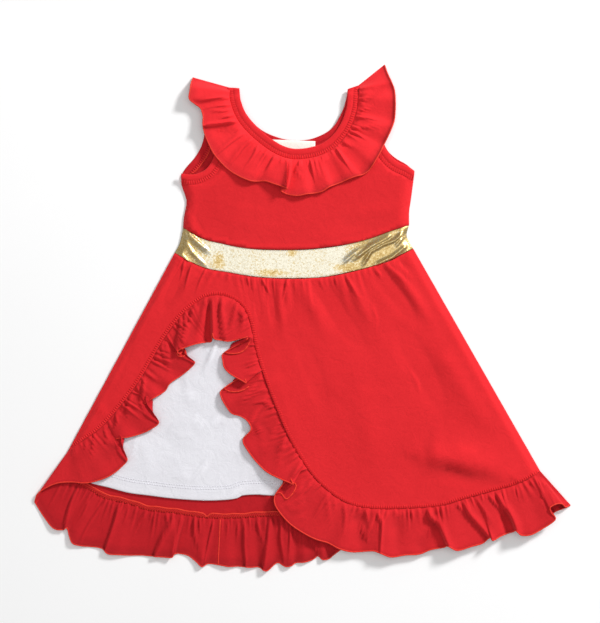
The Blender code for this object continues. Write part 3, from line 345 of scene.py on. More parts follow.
# %% Creases of the neck ruffle and the back ruffle
NECK_CREASES = [
    crease(2.4, 1.0, [(202, 101), (215, 99), (229, 96)]),
    crease(2.0, 0.8, [(216, 107), (223, 106), (230, 105)]),
    crease(2.2, 0.9, [(214, 111), (223, 112), (232, 110)]),
    crease(2.2, 1.3, [(223, 118), (229, 117), (235, 116)]),
    crease(3.8, 2.4, [(203, 126), (214, 125), (226, 123), (240, 122)], 0.8),
    fold(6, -1.0, [(230, 129), (218, 131), (208, 131)]),
    crease(2.2, 0.9, [(236, 131), (239, 129), (243, 127)]),
    crease(3.0, 1.2, [(220, 152), (233, 141), (247, 132)], 0.7),
    crease(3.0, 1.1, [(233, 161), (243, 147), (254, 139)], 0.7),
    crease(2.4, 1.0, [(258, 144), (255, 153), (247, 166)]), crease(2.0, 0.8, [(263, 147), (260, 153)]),
    crease(2.2, 0.9, [(269, 150), (265, 156)]),
    crease(4.0, 1.7, [(276, 153), (271, 163), (267, 170), (261, 176)]),
    crease(2.0, 0.9, [(281, 156), (281, 162)]), crease(2.2, 0.8, [(285, 156), (287, 164)]),
    crease(4.4, 2.8, [(287, 189), (290, 173), (291, 157)], 0.7),
    crease(3.0, 1.3, [(299, 158), (299, 165), (295, 170), (302, 178)]),
    crease(2.0, 0.8, [(306, 158), (307, 164)]), crease(3.0, 1.5, [(310, 158), (312, 168), (314, 179)]),
    crease(2.0, 1.0, [(317, 157), (315, 164)]), crease(2.0, 0.8, [(322, 156), (322, 161)]),
    crease(3.0, 1.2, [(335, 146), (341, 156), (350, 170)]),
    crease(2.4, 0.9, [(340, 141), (347, 145), (353, 146)]),
    crease(2.6, 0.9, [(350, 133), (357, 134), (364, 139)]),
    crease(3.2, 1.0, [(352, 128), (365, 128), (380, 125)]),
    crease(2.6, 1.2, [(357, 118), (366, 118), (377, 120)]),
    crease(2.2, 1.1, [(359, 112), (364, 110), (370, 106)]),
    crease(3.0, 1.2, [(360, 104), (366, 98), (371, 94)]),
    fold(7, 1.0, [(364, 92), (374, 88), (385, 90)], 0.5),
    fold(8, -0.9, [(206, 108), (208, 114), (207, 121)], 0.6)]
BACK_RUFFLE_CREASES = [
    crease(4, 1.8, [(75, 491), (70, 504), (66, 518), (65, 529)], 0.9),
    crease(2.6, 0.8, [(60, 486), (54, 496), (50, 506)]),
    crease(3, 1.0, [(103, 503), (95, 515), (85, 530), (80, 544)], 0.4),
    crease(2.4, 0.7, [(88, 500), (84, 512), (79, 520)]),
    crease(4.6, 1.9, [(119, 504), (115, 520), (110, 535), (105, 549)], 0.8),
    crease(2.2, 0.7, [(128, 509), (124, 522)]), crease(2.6, 0.9, [(147, 511), (140, 521), (133, 534)]),
    crease(2.2, 0.7, [(153, 512), (148, 522)]),
    crease(5.4, 2.3, [(173, 521), (163, 536), (155, 554)], 0.9),
    crease(2.4, 1.0, [(165, 514), (168, 523)]),
    crease(4.4, 1.9, [(174, 557), (177, 540), (183, 520)], 0.6),
    crease(2.8, 1.1, [(194, 518), (194, 535), (202, 556)]), crease(2.2, 0.8, [(199, 519), (200, 534)]),
    crease(3.4, 1.3, [(214, 521), (210, 536), (205, 561)], 0.6),
    crease(2.2, 0.7, [(228, 522), (226, 538)]), crease(2.4, 0.8, [(238, 524), (236, 541)]),
    crease(3.2, 1.3, [(245, 522), (244, 545), (246, 567)], 0.7),
    crease(2.4, 0.9, [(256, 522), (260, 533), (265, 547)]),
    crease(4.6, 1.8, [(269, 518), (268, 540), (263, 568)], 0.8),
    crease(3.0, 1.2, [(281, 519), (280, 540), (284, 562)]),
    crease(2.6, 1.0, [(290, 525), (290, 540), (288, 560)]),
    crease(3.4, 1.4, [(310, 536), (314, 545), (319, 554)], 0.8)]
BACK_SKIRT_CREASES = [fold(3, 0.8, [(269, 492), (269, 504), (268, 516)], 1.0)]
print("creases of the neck ruffle:", len(NECK_CREASES),
      "and of the back ruffle:", len(BACK_RUFFLE_CREASES))

# %% Creases of the front ruffle
ARCH_CREASES = [
    crease(4.4, 2.0, [(212, 299), (212, 318), (213, 337)], 0.8),
    crease(5.0, 2.6, [(222, 297), (221, 312), (224, 336)], 0.8),
    crease(5.0, 2.2, [(200, 341), (203, 322), (206, 303)], 0.7),
    fold(4.0, -1.4, [(208, 303), (208, 320), (207, 338)], 0.9),
    crease(4.0, 1.7, [(237, 303), (233, 317), (230, 332)], 0.5),
    crease(3.0, 2.0, [(240, 308), (243, 318), (242, 329)]), crease(2.0, 0.9, [(216, 298), (217, 308)]),
    crease(4.4, 1.9, [(194, 306), (190, 321), (183, 340)], 0.5),
    crease(3.0, 0.9, [(198, 304), (196, 317), (193, 331)]),
    crease(3.4, 1.9, [(184, 313), (186, 326), (184, 334), (180, 347)]),
    crease(3.6, 2.0, [(177, 317), (181, 326), (178, 340), (176, 353)], 0.5),
    fold(6, -1.3, [(178, 326), (174, 340), (172, 352)]),
    crease(2.6, 1.2, [(161, 346), (164, 356), (168, 366)]),
    crease(3.0, 1.1, [(166, 342), (168, 353), (169, 375)]), crease(2.4, 0.8, [(157, 350), (157, 363)]),
    crease(3.4, 1.8, [(144, 379), (143, 391), (141, 404)], 0.7),
    crease(2.2, 0.9, [(136, 385), (139, 393)]), crease(3.4, 1.4, [(131, 393), (128, 406), (127, 421)]),
    crease(2.4, 1.1, [(124, 400), (120, 413)]), crease(3.0, 1.5, [(115, 410), (117, 422), (113, 431)]),
    crease(3.0, 1.0, [(104, 429), (107, 438), (104, 451)]),
    crease(2.6, 1.0, [(94, 435), (93, 446), (90, 459)]), crease(2.4, 0.8, [(86, 440), (84, 453)]),
    crease(3.0, 1.0, [(74, 452), (66, 462), (58, 470)]),
    fold(8, -1.0, [(112, 442), (104, 456), (92, 468)], 0.5),
    crease(2.6, 1.2, [(248, 367), (254, 364), (260, 361)]),
    crease(2.6, 1.1, [(248, 375), (255, 373), (262, 372)]),
    crease(3.4, 1.6, [(243, 404), (251, 391), (261, 378)], 0.7),
    crease(2.6, 1.0, [(252, 398), (258, 391), (266, 388)]),
    crease(2.4, 1.1, [(255, 403), (262, 402), (271, 403)]),
    crease(2.2, 0.9, [(262, 399), (268, 405), (275, 410)]),
    crease(3.4, 1.3, [(250, 426), (255, 414), (265, 404)]),
    crease(2.8, 1.1, [(273, 441), (274, 430), (280, 423)]),
    crease(3.6, 1.4, [(257, 426), (262, 440), (265, 450)]),
    crease(3.0, 1.6, [(286, 436), (282, 444), (284, 455)]),
    crease(3.4, 0.9, [(281, 440), (279, 455), (278, 471)]),
    crease(2.2, 1.2, [(290, 462), (294, 458), (298, 455)]),
    crease(2.8, 1.4, [(292, 477), (298, 469), (304, 464)]),
    crease(2.2, 0.9, [(300, 471), (306, 469), (310, 470)]),
    crease(2.8, 1.0, [(304, 493), (310, 486), (313, 479)]),
    crease(3.4, 1.4, [(300, 481), (298, 493), (299, 505), (303, 520)]),
    crease(3.0, 1.2, [(289, 500), (293, 510), (297, 519)]),
    crease(3.0, 1.1, [(326, 494), (328, 510), (331, 526)]),
    crease(2.4, 0.9, [(318, 513), (322, 505), (326, 497)])]
HEM_CREASES = [
    fold(8, -1.6, [(356, 514), (359, 525), (358, 538)], 0.8),
    fold(7, -1.4, [(396, 520), (398, 532), (397, 545)], 0.8),
    crease(3.0, 1.1, [(343, 502), (345, 515), (344, 532)]), crease(2.2, 0.8, [(334, 499), (335, 513)]),
    crease(2.6, 1.0, [(363, 506), (366, 514), (369, 523)]),
    crease(3.4, 1.5, [(360, 527), (366, 537), (371, 527), (377, 511)]),
    crease(3.4, 1.8, [(376, 511), (382, 523), (381, 538), (380, 551)], 0.6),
    crease(2.4, 1.1, [(388, 509), (384, 521)]), crease(2.4, 1.0, [(391, 510), (399, 515), (405, 511)]),
    crease(2.0, 0.8, [(402, 508), (404, 519)]), crease(2.2, 1.2, [(411, 508), (413, 520)]),
    crease(5.4, 3.0, [(427, 508), (430, 517), (440, 526), (444, 537), (451, 550)], 0.9),
    fold(9, -2.4, [(436, 519), (431, 532), (422, 545)], 0.8),
    crease(2.4, 1.1, [(452, 502), (461, 508), (466, 514)]),
    crease(5.4, 2.8, [(463, 501), (469, 514), (480, 526), (491, 539)], 0.9),
    crease(3.0, 0.9, [(477, 500), (484, 511), (492, 521)]),
    crease(3.0, 1.4, [(487, 493), (492, 500), (499, 507), (509, 511)]),
    crease(5.4, 3.0, [(496, 492), (502, 504), (508, 512), (514, 523), (517, 534)], 0.9),
    crease(2.2, 0.9, [(502, 491), (505, 502)]), crease(2.2, 1.1, [(516, 485), (518, 498)]),
    crease(2.2, 0.8, [(529, 479), (534, 487)]), fold(6, -1.9, [(502, 512), (506, 521), (508, 532)], 0.8),
    crease(3.2, 1.8, [(540, 483), (552, 485), (563, 492)], 0.4),
    crease(2.4, 0.8, [(541, 501), (543, 491), (540, 483)]),
    crease(3.0, 1.2, [(553, 487), (551, 497), (554, 504)])]
print("creases of the front ruffle:", len(ARCH_CREASES) + len(HEM_CREASES))

# %% [markdown]
# ## Where the front ruffle shows its inside, and painted shade in its hollows
#
# At some lobes beside the arch the free edge curls back up over the ruffle. A second layer would
# be right there, but it would run into the first one. Instead each curled edge is a narrow crease
# with a serged thread on it, and the cloth beside it takes the colour of the inside. Two hollows on
# the arch's left, where the cloth rolls under, take the inside's darker colour too: the reverse
# shows there, and its darkness also stands in for the hollows' shade, as painted shade.

# %% Curled edges, the stretches of the inside that they show, and two hollows painted as shade
CURLED_EDGES = [
    [(224, 352), (231, 353.5), (240, 352.5), (246, 348), (250, 341)],
    [(222, 387), (229, 391), (237, 391.5), (244, 389.5), (249, 386)],
    [(276, 493), (281, 493), (286, 498.5), (292, 494), (296, 486), (293, 481.5)],
    [(177, 353), (179, 356), (184, 356), (186, 352), (182, 348)]]
INSIDES_AND_PAINTED_SHADE = [
    [(224, 352), (228, 343), (238, 340), (250, 338), (250, 341), (246, 348), (240, 352.5), (231, 353.5)],
    [(232, 374), (221, 386), (229, 391), (237, 391.5), (249, 386), (243, 381)],
    [(283, 479), (275, 492), (281, 493), (286, 498.5), (292, 494), (296, 486), (293, 481.5)],
    [(186, 347), (190, 357), (196, 362), (181, 357), (186, 352)],
    # The last two are hollows where the cloth rolls under: the reverse shows, and its darker colour is
    # also painted shade.
    [(157, 395), (146, 400), (142, 407), (147, 416), (158, 424)],
    [(128, 437), (116, 441), (117, 449), (122, 456), (128, 462)]]
FRONT_RUFFLE_CREASES = ARCH_CREASES + HEM_CREASES
FRONT_RUFFLE_CREASES += [crease(2.6, 0.9, line, 0.9) for line in CURLED_EDGES]
FRONT_RUFFLE_CREASES += [      # rims of the hollows on the arch's left
    crease(3, 1.0, [(157, 396), (146, 400), (142, 407), (147, 416), (157, 422)], 0.7),
    crease(3, 1.0, [(127, 439), (117, 444), (118, 450), (122, 456), (127, 461)], 0.7),
    crease(2.4, 0.9, [(180, 357), (187, 359), (194, 363)], 0.9)]
print("curled edges:", len(CURLED_EDGES), "stretches of the inside:", len(INSIDES_AND_PAINTED_SHADE))

# %% [markdown]
# ## Lines in the cloth
#
# A `Seam` is a smooth line through the rows of a table. It is read by its length, because a
# sewer measures along the seam. `moved_out` gives the parallel line, for a binding or a row of
# stitches.

# %% Small sums that every piece uses
def clamp(value, low=0.0, high=1.0):
    return max(low, min(high, value))


def lerp(a, b, share):
    return a + (b - a) * share


def ease(low, high, value):
    """A smooth step from 0 at low to 1 at high."""
    share = clamp((value - low) / (high - low))
    return share * share * (3 - 2 * share)


def curve_value(rows, place, column):
    """A Catmull-Rom value of one column at a fractional row number."""
    last = len(rows) - 1
    index = int(clamp(math.floor(place), 0, last - 1))
    t = place - index
    b, c = rows[index][column], rows[index + 1][column]
    a = rows[index - 1][column] if index > 0 else 2 * b - c
    d = rows[index + 2][column] if index + 2 <= last else 2 * c - b
    return 0.5 * (2 * b + (c - a) * t + (2 * a - 5 * b + 4 * c - d) * t ** 2
                  + (3 * b - a - 3 * c + d) * t ** 3)


print("a smooth step is slow at first:", round(ease(0, 10, 1), 3), "after a tenth of the way")


# %% The seam class
class Seam:
    """A smooth line through the rows of a table, read by its length in millimetres."""

    def __init__(self, rows, fine=12):
        self.rows = rows
        self.fine = fine
        self.places = [i / fine for i in range(fine * (len(rows) - 1) + 1)]
        self.points = [self.at_place(place) for place in self.places]
        self.lengths = [0.0]
        for a, b in zip(self.points, self.points[1:]):
            self.lengths.append(self.lengths[-1] + math.dist(a, b))
        self.length = self.lengths[-1]

    def at_place(self, place):
        return (curve_value(self.rows, place, 0), curve_value(self.rows, place, 1))

    def place(self, length):
        """The fractional row number at a length along the seam."""
        length = clamp(length, 0, self.length)
        low, high = 0, len(self.lengths) - 1
        while high - low > 1:
            middle = (low + high) // 2
            if self.lengths[middle] > length:
                high = middle
            else:
                low = middle
        share = (length - self.lengths[low]) / max(self.lengths[high] - self.lengths[low], 1e-9)
        return lerp(self.places[low], self.places[high], share)

    def at(self, length):
        return self.at_place(self.place(length))

    def column(self, length, column):
        """A further column of the table, straight between its rows."""
        place = self.place(length)
        index = int(clamp(math.floor(place), 0, len(self.rows) - 2))
        return lerp(self.rows[index][column], self.rows[index + 1][column], place - index)

    def nearest(self, x, y):
        """The length along the seam of its point nearest to x, y, and the distance there."""
        index = min(range(len(self.points)), key=lambda i: math.dist(self.points[i], (x, y)))
        return self.lengths[index], math.dist(self.points[index], (x, y))

    def samples(self, step):
        count = max(2, round(self.length / step))
        return [self.at(self.length * i / count) for i in range(count + 1)]


def moved_out(points, distance):
    """An open line moved to its left by a distance."""
    result = []
    for i, point in enumerate(points):
        before = points[max(i - 1, 0)]
        after = points[min(i + 1, len(points) - 1)]
        run = Vector((after[0] - before[0], after[1] - before[1])).normalized()
        result.append((point[0] - run.y * distance, point[1] + run.x * distance))
    return result


print("the front neck is", round(Seam(NECK_FRONT).length), "mm round")


# %% The seams themselves
SEAM_STEP = 9.0            # spacing of the points that a parallel line is drawn from
RUFFLE_STEP = 4.0
NECK_FRONT_SEAM = Seam(moved_out(Seam(NECK_FRONT).samples(SEAM_STEP), -BINDING))
NECK_BACK_SEAM = Seam(moved_out(Seam(NECK_BACK).samples(SEAM_STEP), -BINDING))
WAIST_TOP_SEAM = Seam(WAIST_TOP)
WAIST_SEAM = Seam(WAIST_BOTTOM)
SIDE_SEAMS = (Seam(SIDE_LEFT), Seam(SIDE_RIGHT))
BAND_ENDS = (Seam(BAND_LEFT), Seam(BAND_RIGHT))
SKIRT_SIDES = (
    Seam([WAIST_BOTTOM[0], FRONT_SEAM[0][:2]], 60),
    Seam([WAIST_BOTTOM[-1], FRONT_SEAM[-1][:2]], 60))
print("waist seam", round(WAIST_SEAM.length), "mm, front lower seam",
      round(Seam(FRONT_SEAM).length), "mm")

# %% [markdown]
# ## How high the cloth lies
#
# Laid flat, a dress is a stack of layers. At a side seam the front comes down to the back, and at
# the shoulders the front straps do. Pressed creases are ridges that are steep on one side and
# fade on the other, as real ones are. On top of that, cloth is never quite flat, so `stir` adds
# a few tenths of a millimetre of slow waves. Each panel's height is one function of x and y, which
# its binding, its ruffle and its stitches can ask as well.

# %% Creases and slow waves
HEAD = 0.4                 # share of its height that a crease has where it starts
HEAD_ENDS = 0.15           # it is full from this share of its length
TAIL_STARTS = 0.45         # and fades after this one


def creases(rows, x, y):
    """The height that a table of creases adds at x, y."""
    total = 0.0
    for points, lengths, width, height, end, steep, box in rows:
        if not (box[0] < x < box[1] and box[2] < y < box[3]):
            continue
        near = (1e9, False, 0.0)
        for a, b, at, after in zip(points, points[1:], lengths, lengths[1:]):
            run = (b[0] - a[0], b[1] - a[1])
            share = clamp(((x - a[0]) * run[0] + (y - a[1]) * run[1]) / (after - at) ** 2)
            off = (x - a[0] - run[0] * share, y - a[1] - run[1] * share)
            gap = math.hypot(*off)
            if gap < near[0]:
                on_left = run[0] * off[1] - run[1] * off[0] > 0
                near = (gap, on_left, lerp(at, after, share) / lengths[-1])
        gap, on_left, along = near
        across = gap / (width if on_left else width * steep)
        fade = lerp(HEAD, 1.0, ease(0, HEAD_ENDS, along))
        fade *= lerp(1.0, end, ease(TAIL_STARTS, 1, along))
        total += height * fade * math.exp(-across ** 2)
    return total


def stir(x, y):
    """Three crossed waves, 0.09 to 0.2 mm high, of a cloth that was smoothed by hand."""
    return (0.20 * math.sin(x / 31 + 1.3) * math.sin(y / 43 + 0.4)
            + 0.13 * math.sin(x / 17 + y / 29 + 2.0) + 0.09 * math.sin(x / 11 - y / 13))


def beside(seams, x, y):
    """The distance to the nearer of two seams."""
    return min(seam.nearest(x, y)[1] for seam in seams)


print("waves at the dress's middle:", round(stir(0, 0), 2), "mm")


# %% Heights of the panels' undersides
NECK_LIFT_FADES = (22, 9)  # none of the back neck's lift this far past the ruffle, and all of it
CHEST_RISES = (100, 180)   # y from which the front comes up to the neck's height, and up to which
STRAP_FALL = 7             # length over which a front strap comes down to the shoulder seam
UNDERSKIRT_STIR = 0.6      # share of the slow waves that the underskirt has
BAND_STIR = 0.7            # and the waistband
BAND_CLOSER = (1.6, 2.2)   # how much closer its waves are, across and down


def back_height(x, y):
    past = NECK_BACK_SEAM.nearest(x, y)[1] - NECK_RUFFLE_BACK
    return NECK_LIFT * ease(*NECK_LIFT_FADES, past)


def shoulder_y(x):
    return STRAP_LEFT[1] if x < 0 else STRAP_RIGHT[1]


def front_height(x, y):
    height = lerp(WAIST_FRONT_Z, NECK_FRONT_Z, ease(*CHEST_RISES, y))
    height += creases(BODICE_CREASES, x, y)
    height = lerp(JOIN_Z, height, ease(0, ROLL_IN, beside(SIDE_SEAMS, x, y)))
    strap = ease(0, STRAP_FALL, shoulder_y(x) - y)
    return min(height, lerp(SHOULDER_JOIN_Z, NECK_FRONT_Z, strap)) + stir(x, y)


def skirt_front_height(x, y, relief):
    base = SKIRT_FRONT_Z + SKIRT_AIR + creases(SKIRT_CREASES, x, y) + stir(x, y) + relief
    base = max(base, OVER_UNDERSKIRT)
    return lerp(JOIN_Z, base, ease(0, ROLL_IN, beside(SKIRT_SIDES, x, y)))


def underskirt_height(x, y, relief):
    waves = UNDERSKIRT_STIR * stir(x, y)
    return UNDERSKIRT_Z + creases(UNDERSKIRT_CREASES, x, y) + waves + relief


def skirt_back_height(x, y, relief):
    return relief + creases(BACK_SKIRT_CREASES, x, y)


def band_height(x, y):
    waves = BAND_STIR * stir(BAND_CLOSER[0] * x, BAND_CLOSER[1] * y)
    base = WAIST_FRONT_Z + creases(BAND_CREASES, x, y) + waves
    return lerp(JOIN_Z, base, ease(0, ROLL_IN, beside(BAND_ENDS, x, y)))


def on_surface(x, y):
    return 0.0


print("front bodice:", round(front_height(0, 140), 1), "mm over the surface")

# %% [markdown]
# ## Materials
#
# Cotton jersey is matt with a short nap, so its shader is rough with a little sheen, and its
# colour wanders slightly from place to place. Its colour also has painted shade, darker in the
# mesh's hollows and a touch lighter on raised cloth. Its knit is a bump of fine columns, the
# wales, crossed by courses, over a bump of small wrinkles. The reverse side is duller and darker,
# so it has a material of its own. The collar is painted a little brighter than the bodice and the
# front ruffle a little darker, as painted light and painted shade, because they lie at other
# angles to the light. The node trees use the object's own coordinates, in metres, so nothing
# slides, and they stay sharp at any distance, as an image would not.

# %% Helpers for node trees
def give(material, socket, value):
    """Set an input to a number or colour, or join it to another node's output."""
    if isinstance(value, bpy.types.NodeSocket):
        material.node_tree.links.new(value, socket)
    else:
        socket.default_value = value


def add_node(material, kind, **inputs):
    node = material.node_tree.nodes.new(kind)
    for name, value in inputs.items():
        give(material, node.inputs[name.replace("_", " ")], value)
    return node


def maths(material, operation, *values):
    """A sum of sockets or numbers, as one node's output."""
    node = add_node(material, "ShaderNodeMath")
    node.operation = operation
    for socket, value in zip(node.inputs, values):
        give(material, socket, value)
    return node.outputs[0]


def vector_maths(material, operation, vector, other=None, socket=1):
    """The same with vectors or colours."""
    node = add_node(material, "ShaderNodeVectorMath")
    node.operation = operation
    give(material, node.inputs[0], vector)
    if other is not None:
        give(material, node.inputs[socket], other)
    return node.outputs["Value" if operation == "LENGTH" else "Vector"]


def carried(material, value, low, high, to_low, to_high):
    """A value carried from one range to another."""
    node = add_node(material, "ShaderNodeMapRange", Value=value, From_Min=low, From_Max=high,
                    To_Min=to_low, To_Max=to_high)
    return node.outputs["Result"]


def ramp(material, value, *stops):
    """A colour from a value. Each stop is a position and a colour, in order."""
    node = add_node(material, "ShaderNodeValToRGB", Fac=value)
    for _ in stops[2:]:
        node.color_ramp.elements.new(0.5)
    for element, (position, colour) in zip(node.color_ramp.elements, stops):
        element.position = position
        element.color = (*colour, 1.0)
    return node.outputs["Color"]


def noise(material, place, scale, detail, roughness=0.5, distortion=0.0):
    node = add_node(material, "ShaderNodeTexNoise", Vector=place, Scale=scale, Detail=detail,
                    Roughness=roughness, Distortion=distortion)
    return node.outputs["Fac"]


# %% Start a material
MATT_SHINE = 0.2           # specular level of cloth and thread
FOIL_SHINE = 0.5


def new_material(name, colour, roughness, metallic=0.0, sheen=0.0):
    material = bpy.data.materials.new(name)
    material.use_nodes = True
    shader = material.node_tree.nodes["Principled BSDF"]
    shader.inputs["Base Color"].default_value = (*colour, 1.0)
    shader.inputs["Roughness"].default_value = roughness
    shader.inputs["Metallic"].default_value = metallic
    shader.inputs["Sheen Weight"].default_value = sheen
    shader.inputs["Sheen Roughness"].default_value = 0.5
    shader.inputs["Specular IOR Level"].default_value = FOIL_SHINE if metallic else MATT_SHINE
    place = add_node(material, "ShaderNodeTexCoord").outputs["Object"]
    return material, shader, place


# %% Colour that wanders, painted shade in hollows, and a knit
# Painted shade and highlight: the colour is darkened in the mesh's hollows and lightened a little on
# raised cloth.
HOLLOW = (0.42, 0.51)      # pointiness of a deep hollow, and of cloth that lies flat
PAINTED_HOLLOW_SHADE = (0.5, 1.05)  # how bright they are, because less light gets out of a hollow
WALE = 0.0008              # metres between two columns of the knit
COURSE = 1.3 * WALE
KNIT_DEPTH = 0.0002
CRUMPLE = 0.0016           # metres that the smallest wrinkles rise


def mottle_with_painted_shade(material, shader, place, dark, light, sizes):
    """A colour between two tones, from noises of the given sizes in metres and weights, with painted
    shade in hollows.
    """
    total = 0.0
    for size, weight in sizes:
        total = maths(material, "MULTIPLY_ADD", noise(material, place, 1 / size, 3), weight, total)
    colour = ramp(material, total, (0.32, dark), (0.68, light))
    # Painted shade from the mesh's pointiness: darker in hollows, a touch lighter on raised cloth.
    curve = add_node(material, "ShaderNodeNewGeometry").outputs["Pointiness"]
    painted_light = carried(material, curve, *HOLLOW, *PAINTED_HOLLOW_SHADE)
    shade = vector_maths(material, "SCALE", colour, painted_light, "Scale")
    give(material, shader.inputs["Base Color"], shade)


def knit_bump(material, shader, place):
    """Wales and courses of a fine knit, over small wrinkles."""
    heights = []
    for direction, spacing in (("X", WALE), ("Y", COURSE)):
        wave = add_node(material, "ShaderNodeTexWave", Vector=place, Scale=math.pi / (10 * spacing),
                        Distortion=1.4, Detail=1.0, Detail_Scale=0.6)
        wave.bands_direction = direction
        heights.append(wave.outputs["Fac"])
    wrinkles = noise(material, place, 75.0, detail=5.0, roughness=0.6, distortion=0.8)
    soft = add_node(material, "ShaderNodeBump", Strength=0.5, Distance=CRUMPLE, Height=wrinkles)
    knit = add_node(material, "ShaderNodeBump", Strength=0.35, Distance=KNIT_DEPTH,
                    Height=maths(material, "MULTIPLY", *heights), Normal=soft.outputs["Normal"])
    give(material, shader.inputs["Normal"], knit.outputs["Normal"])


# %% Jersey and thread
JERSEY_NOISES = ((0.09, 0.45), (0.012, 0.25), (0.0016, 0.5))
THREAD_NOISES = ((0.0016, 0.7), (0.0005, 0.3))


def jersey(name, dark, light, sheen=0.08):
    material, shader, place = new_material(name, light, roughness=0.85, sheen=sheen)
    mottle_with_painted_shade(material, shader, place, dark, light, JERSEY_NOISES)
    knit_bump(material, shader, place)
    return material


def thread(name, dark, light):
    material, shader, place = new_material(name, light, roughness=0.6)
    mottle_with_painted_shade(material, shader, place, dark, light, THREAD_NOISES)
    return material


RED = jersey("red_jersey_face", (0.62, 0.011, 0.016), (0.72, 0.016, 0.022))
# Lit and shaded copies of the red: the collar's is painted lighter and the front ruffle's painted
# darker, as painted light and painted shade for the angles at which they lie to the light.
RED_COLLAR_PAINTED_LIGHT = jersey("red_jersey_collar_painted_light", (0.72, 0.014, 0.020), (0.82, 0.021, 0.028))
RED_RUFFLE_PAINTED_SHADE = jersey("red_jersey_ruffle_painted_shade", (0.52, 0.008, 0.013), (0.62, 0.013, 0.019))
RED_INSIDE = jersey("red_jersey_reverse", (0.43, 0.006, 0.011), (0.52, 0.009, 0.015), 0.05)
WHITE = jersey("white_jersey_face", (0.75, 0.735, 0.78), (0.81, 0.80, 0.845), 0.05)
TAPE = jersey("label_tape_face", (0.80, 0.74, 0.66), (0.90, 0.86, 0.79), 0.1)
ORANGE_THREAD = thread("orange_red_thread", (0.62, 0.024, 0.017), (0.80, 0.05, 0.026))
RED_THREAD = thread("red_thread", (0.60, 0.012, 0.016), (0.80, 0.03, 0.034))
WHITE_THREAD = thread("white_thread", (0.62, 0.61, 0.67), (0.84, 0.83, 0.88))
print("materials:", len(bpy.data.materials))

# %% [markdown]
# ## Foil on a knit
#
# The waistband is jersey with a film of foil pressed on it. The film breaks into flakes as the
# knit stretches, so it is a rough mirror whose specks differ in colour. Its colour has a painted
# reflection of the light above: pale in the middle, fading to gold towards both ends and in a few
# dull spots.

# %% The foil's painted reflection, its tones and dull spots
# The pale colour is a painted reflection of the light above. It is strongest near the middle and fades
# to gold towards the ends and in the dull spots.
FOIL_REFLECTION_MIDDLE = 0.028        # metres from the foil's palest place to the frame's middle
FOIL_REFLECTION_EDGES = (0.074, 0.100)  # metres from there to where it turns gold, from start to full
FOIL_REFLECTION_LOSS = 0.27           # how far it turns
FOIL_DULL_DEPTH = 0.52           # how far a worn spot turns at its middle
FOIL_DEEP = (0.50, 0.33, 0.11)
FOIL_GOLD = (0.70, 0.54, 0.26)
FOIL_PAINTED_REFLECTION = (0.74, 0.70, 0.57)
# Dull spots, where the painted reflection gives way to gold: x, y, half width, half height, in metres.
FOIL_DULL_SPOTS = [
    (-0.038, 0.0527, 0.021, 0.0046), (0.051, 0.0585, 0.016, 0.0062),
    (-0.0123, 0.0772, 0.006, 0.006), (-0.098, 0.066, 0.007, 0.012)]


def dull_spot(material, place, x, y, half_width, half_height):
    """How far a dull spot turns the painted reflection to gold at each place."""
    away = vector_maths(material, "SUBTRACT", place, (x, y, 0))
    scaled = vector_maths(material, "MULTIPLY", away, (1 / half_width, 1 / half_height, 0))
    length = vector_maths(material, "LENGTH", scaled)
    return carried(material, length, 0.2, 1.3, FOIL_DULL_DEPTH, 0.0)


print("worn spots:", len(FOIL_DULL_SPOTS))


# %% Press the foil
def foil(name):
    material, shader, place = new_material(name, (0.85, 0.68, 0.36), roughness=0.3, metallic=1.0)
    patches = noise(material, place, 42.0, detail=5.0, roughness=0.62)
    specks = noise(material, place, 520.0, detail=2.0, roughness=0.75)
    x = add_node(material, "ShaderNodeSeparateXYZ", Vector=place).outputs["X"]
    out = maths(material, "ABSOLUTE", maths(material, "ADD", x, FOIL_REFLECTION_MIDDLE))
    painted_light = maths(material, "MULTIPLY_ADD", patches, 0.3, specks)
    painted_light = maths(material, "SUBTRACT", painted_light, carried(material, out, *FOIL_REFLECTION_EDGES, 0.0, FOIL_REFLECTION_LOSS))
    for spot in FOIL_DULL_SPOTS:
        dull = maths(material, "MULTIPLY", dull_spot(material, place, *spot), patches)
        painted_light = maths(material, "SUBTRACT", painted_light, dull)
    # The ramp runs from deep gold through gold to the pale painted reflection.
    colour = ramp(material, painted_light, (0.22, FOIL_DEEP), (0.46, FOIL_GOLD), (0.62, FOIL_PAINTED_REFLECTION))
    give(material, shader.inputs["Base Color"], colour)
    give(material, shader.inputs["Roughness"], carried(material, specks, 0.3, 0.7, 0.5, 0.24))
    flakes = add_node(material, "ShaderNodeTexVoronoi", Vector=place, Scale=620.0)
    bump = add_node(material, "ShaderNodeBump", Strength=0.5, Distance=0.00025,
                    Height=flakes.outputs["Distance"])
    give(material, shader.inputs["Normal"], bump.outputs["Normal"])
    return material


GOLD = foil("gold_foil_jersey")
print("nodes in the foil:", len(GOLD.node_tree.nodes))

# %% [markdown]
# ## A piece of cloth
#
# Each piece is a surface of small squares, thickened downwards with Solidify. The surface is the
# side that faces up, and the side that Solidify adds takes the second material, so that a flap
# that rolls over shows its reverse. Each piece rides on the dress's one body and stands for its
# solid in the frame.


def add_mesh(name, points, faces, materials):
    """A smooth mesh from points in millimetres, riding on the dress."""
    mesh = bpy.data.meshes.new(name)
    mesh.from_pydata([(x * MM, y * MM, z * MM) for x, y, z in points], [], faces)
    mesh.update()
    for material in materials:
        mesh.materials.append(material)
    mesh.shade_smooth()
    piece = bpy.data.objects.new(name, mesh)
    bpy.context.scene.collection.objects.link(piece)
    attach(piece, "root")
    return piece


def thicken(piece, thickness):
    wall = piece.modifiers.new("cloth", "SOLIDIFY")
    wall.thickness = thickness * MM
    wall.offset = -1.0
    wall.use_rim = True
    wall.material_offset = 1
    wall.material_offset_rim = 0


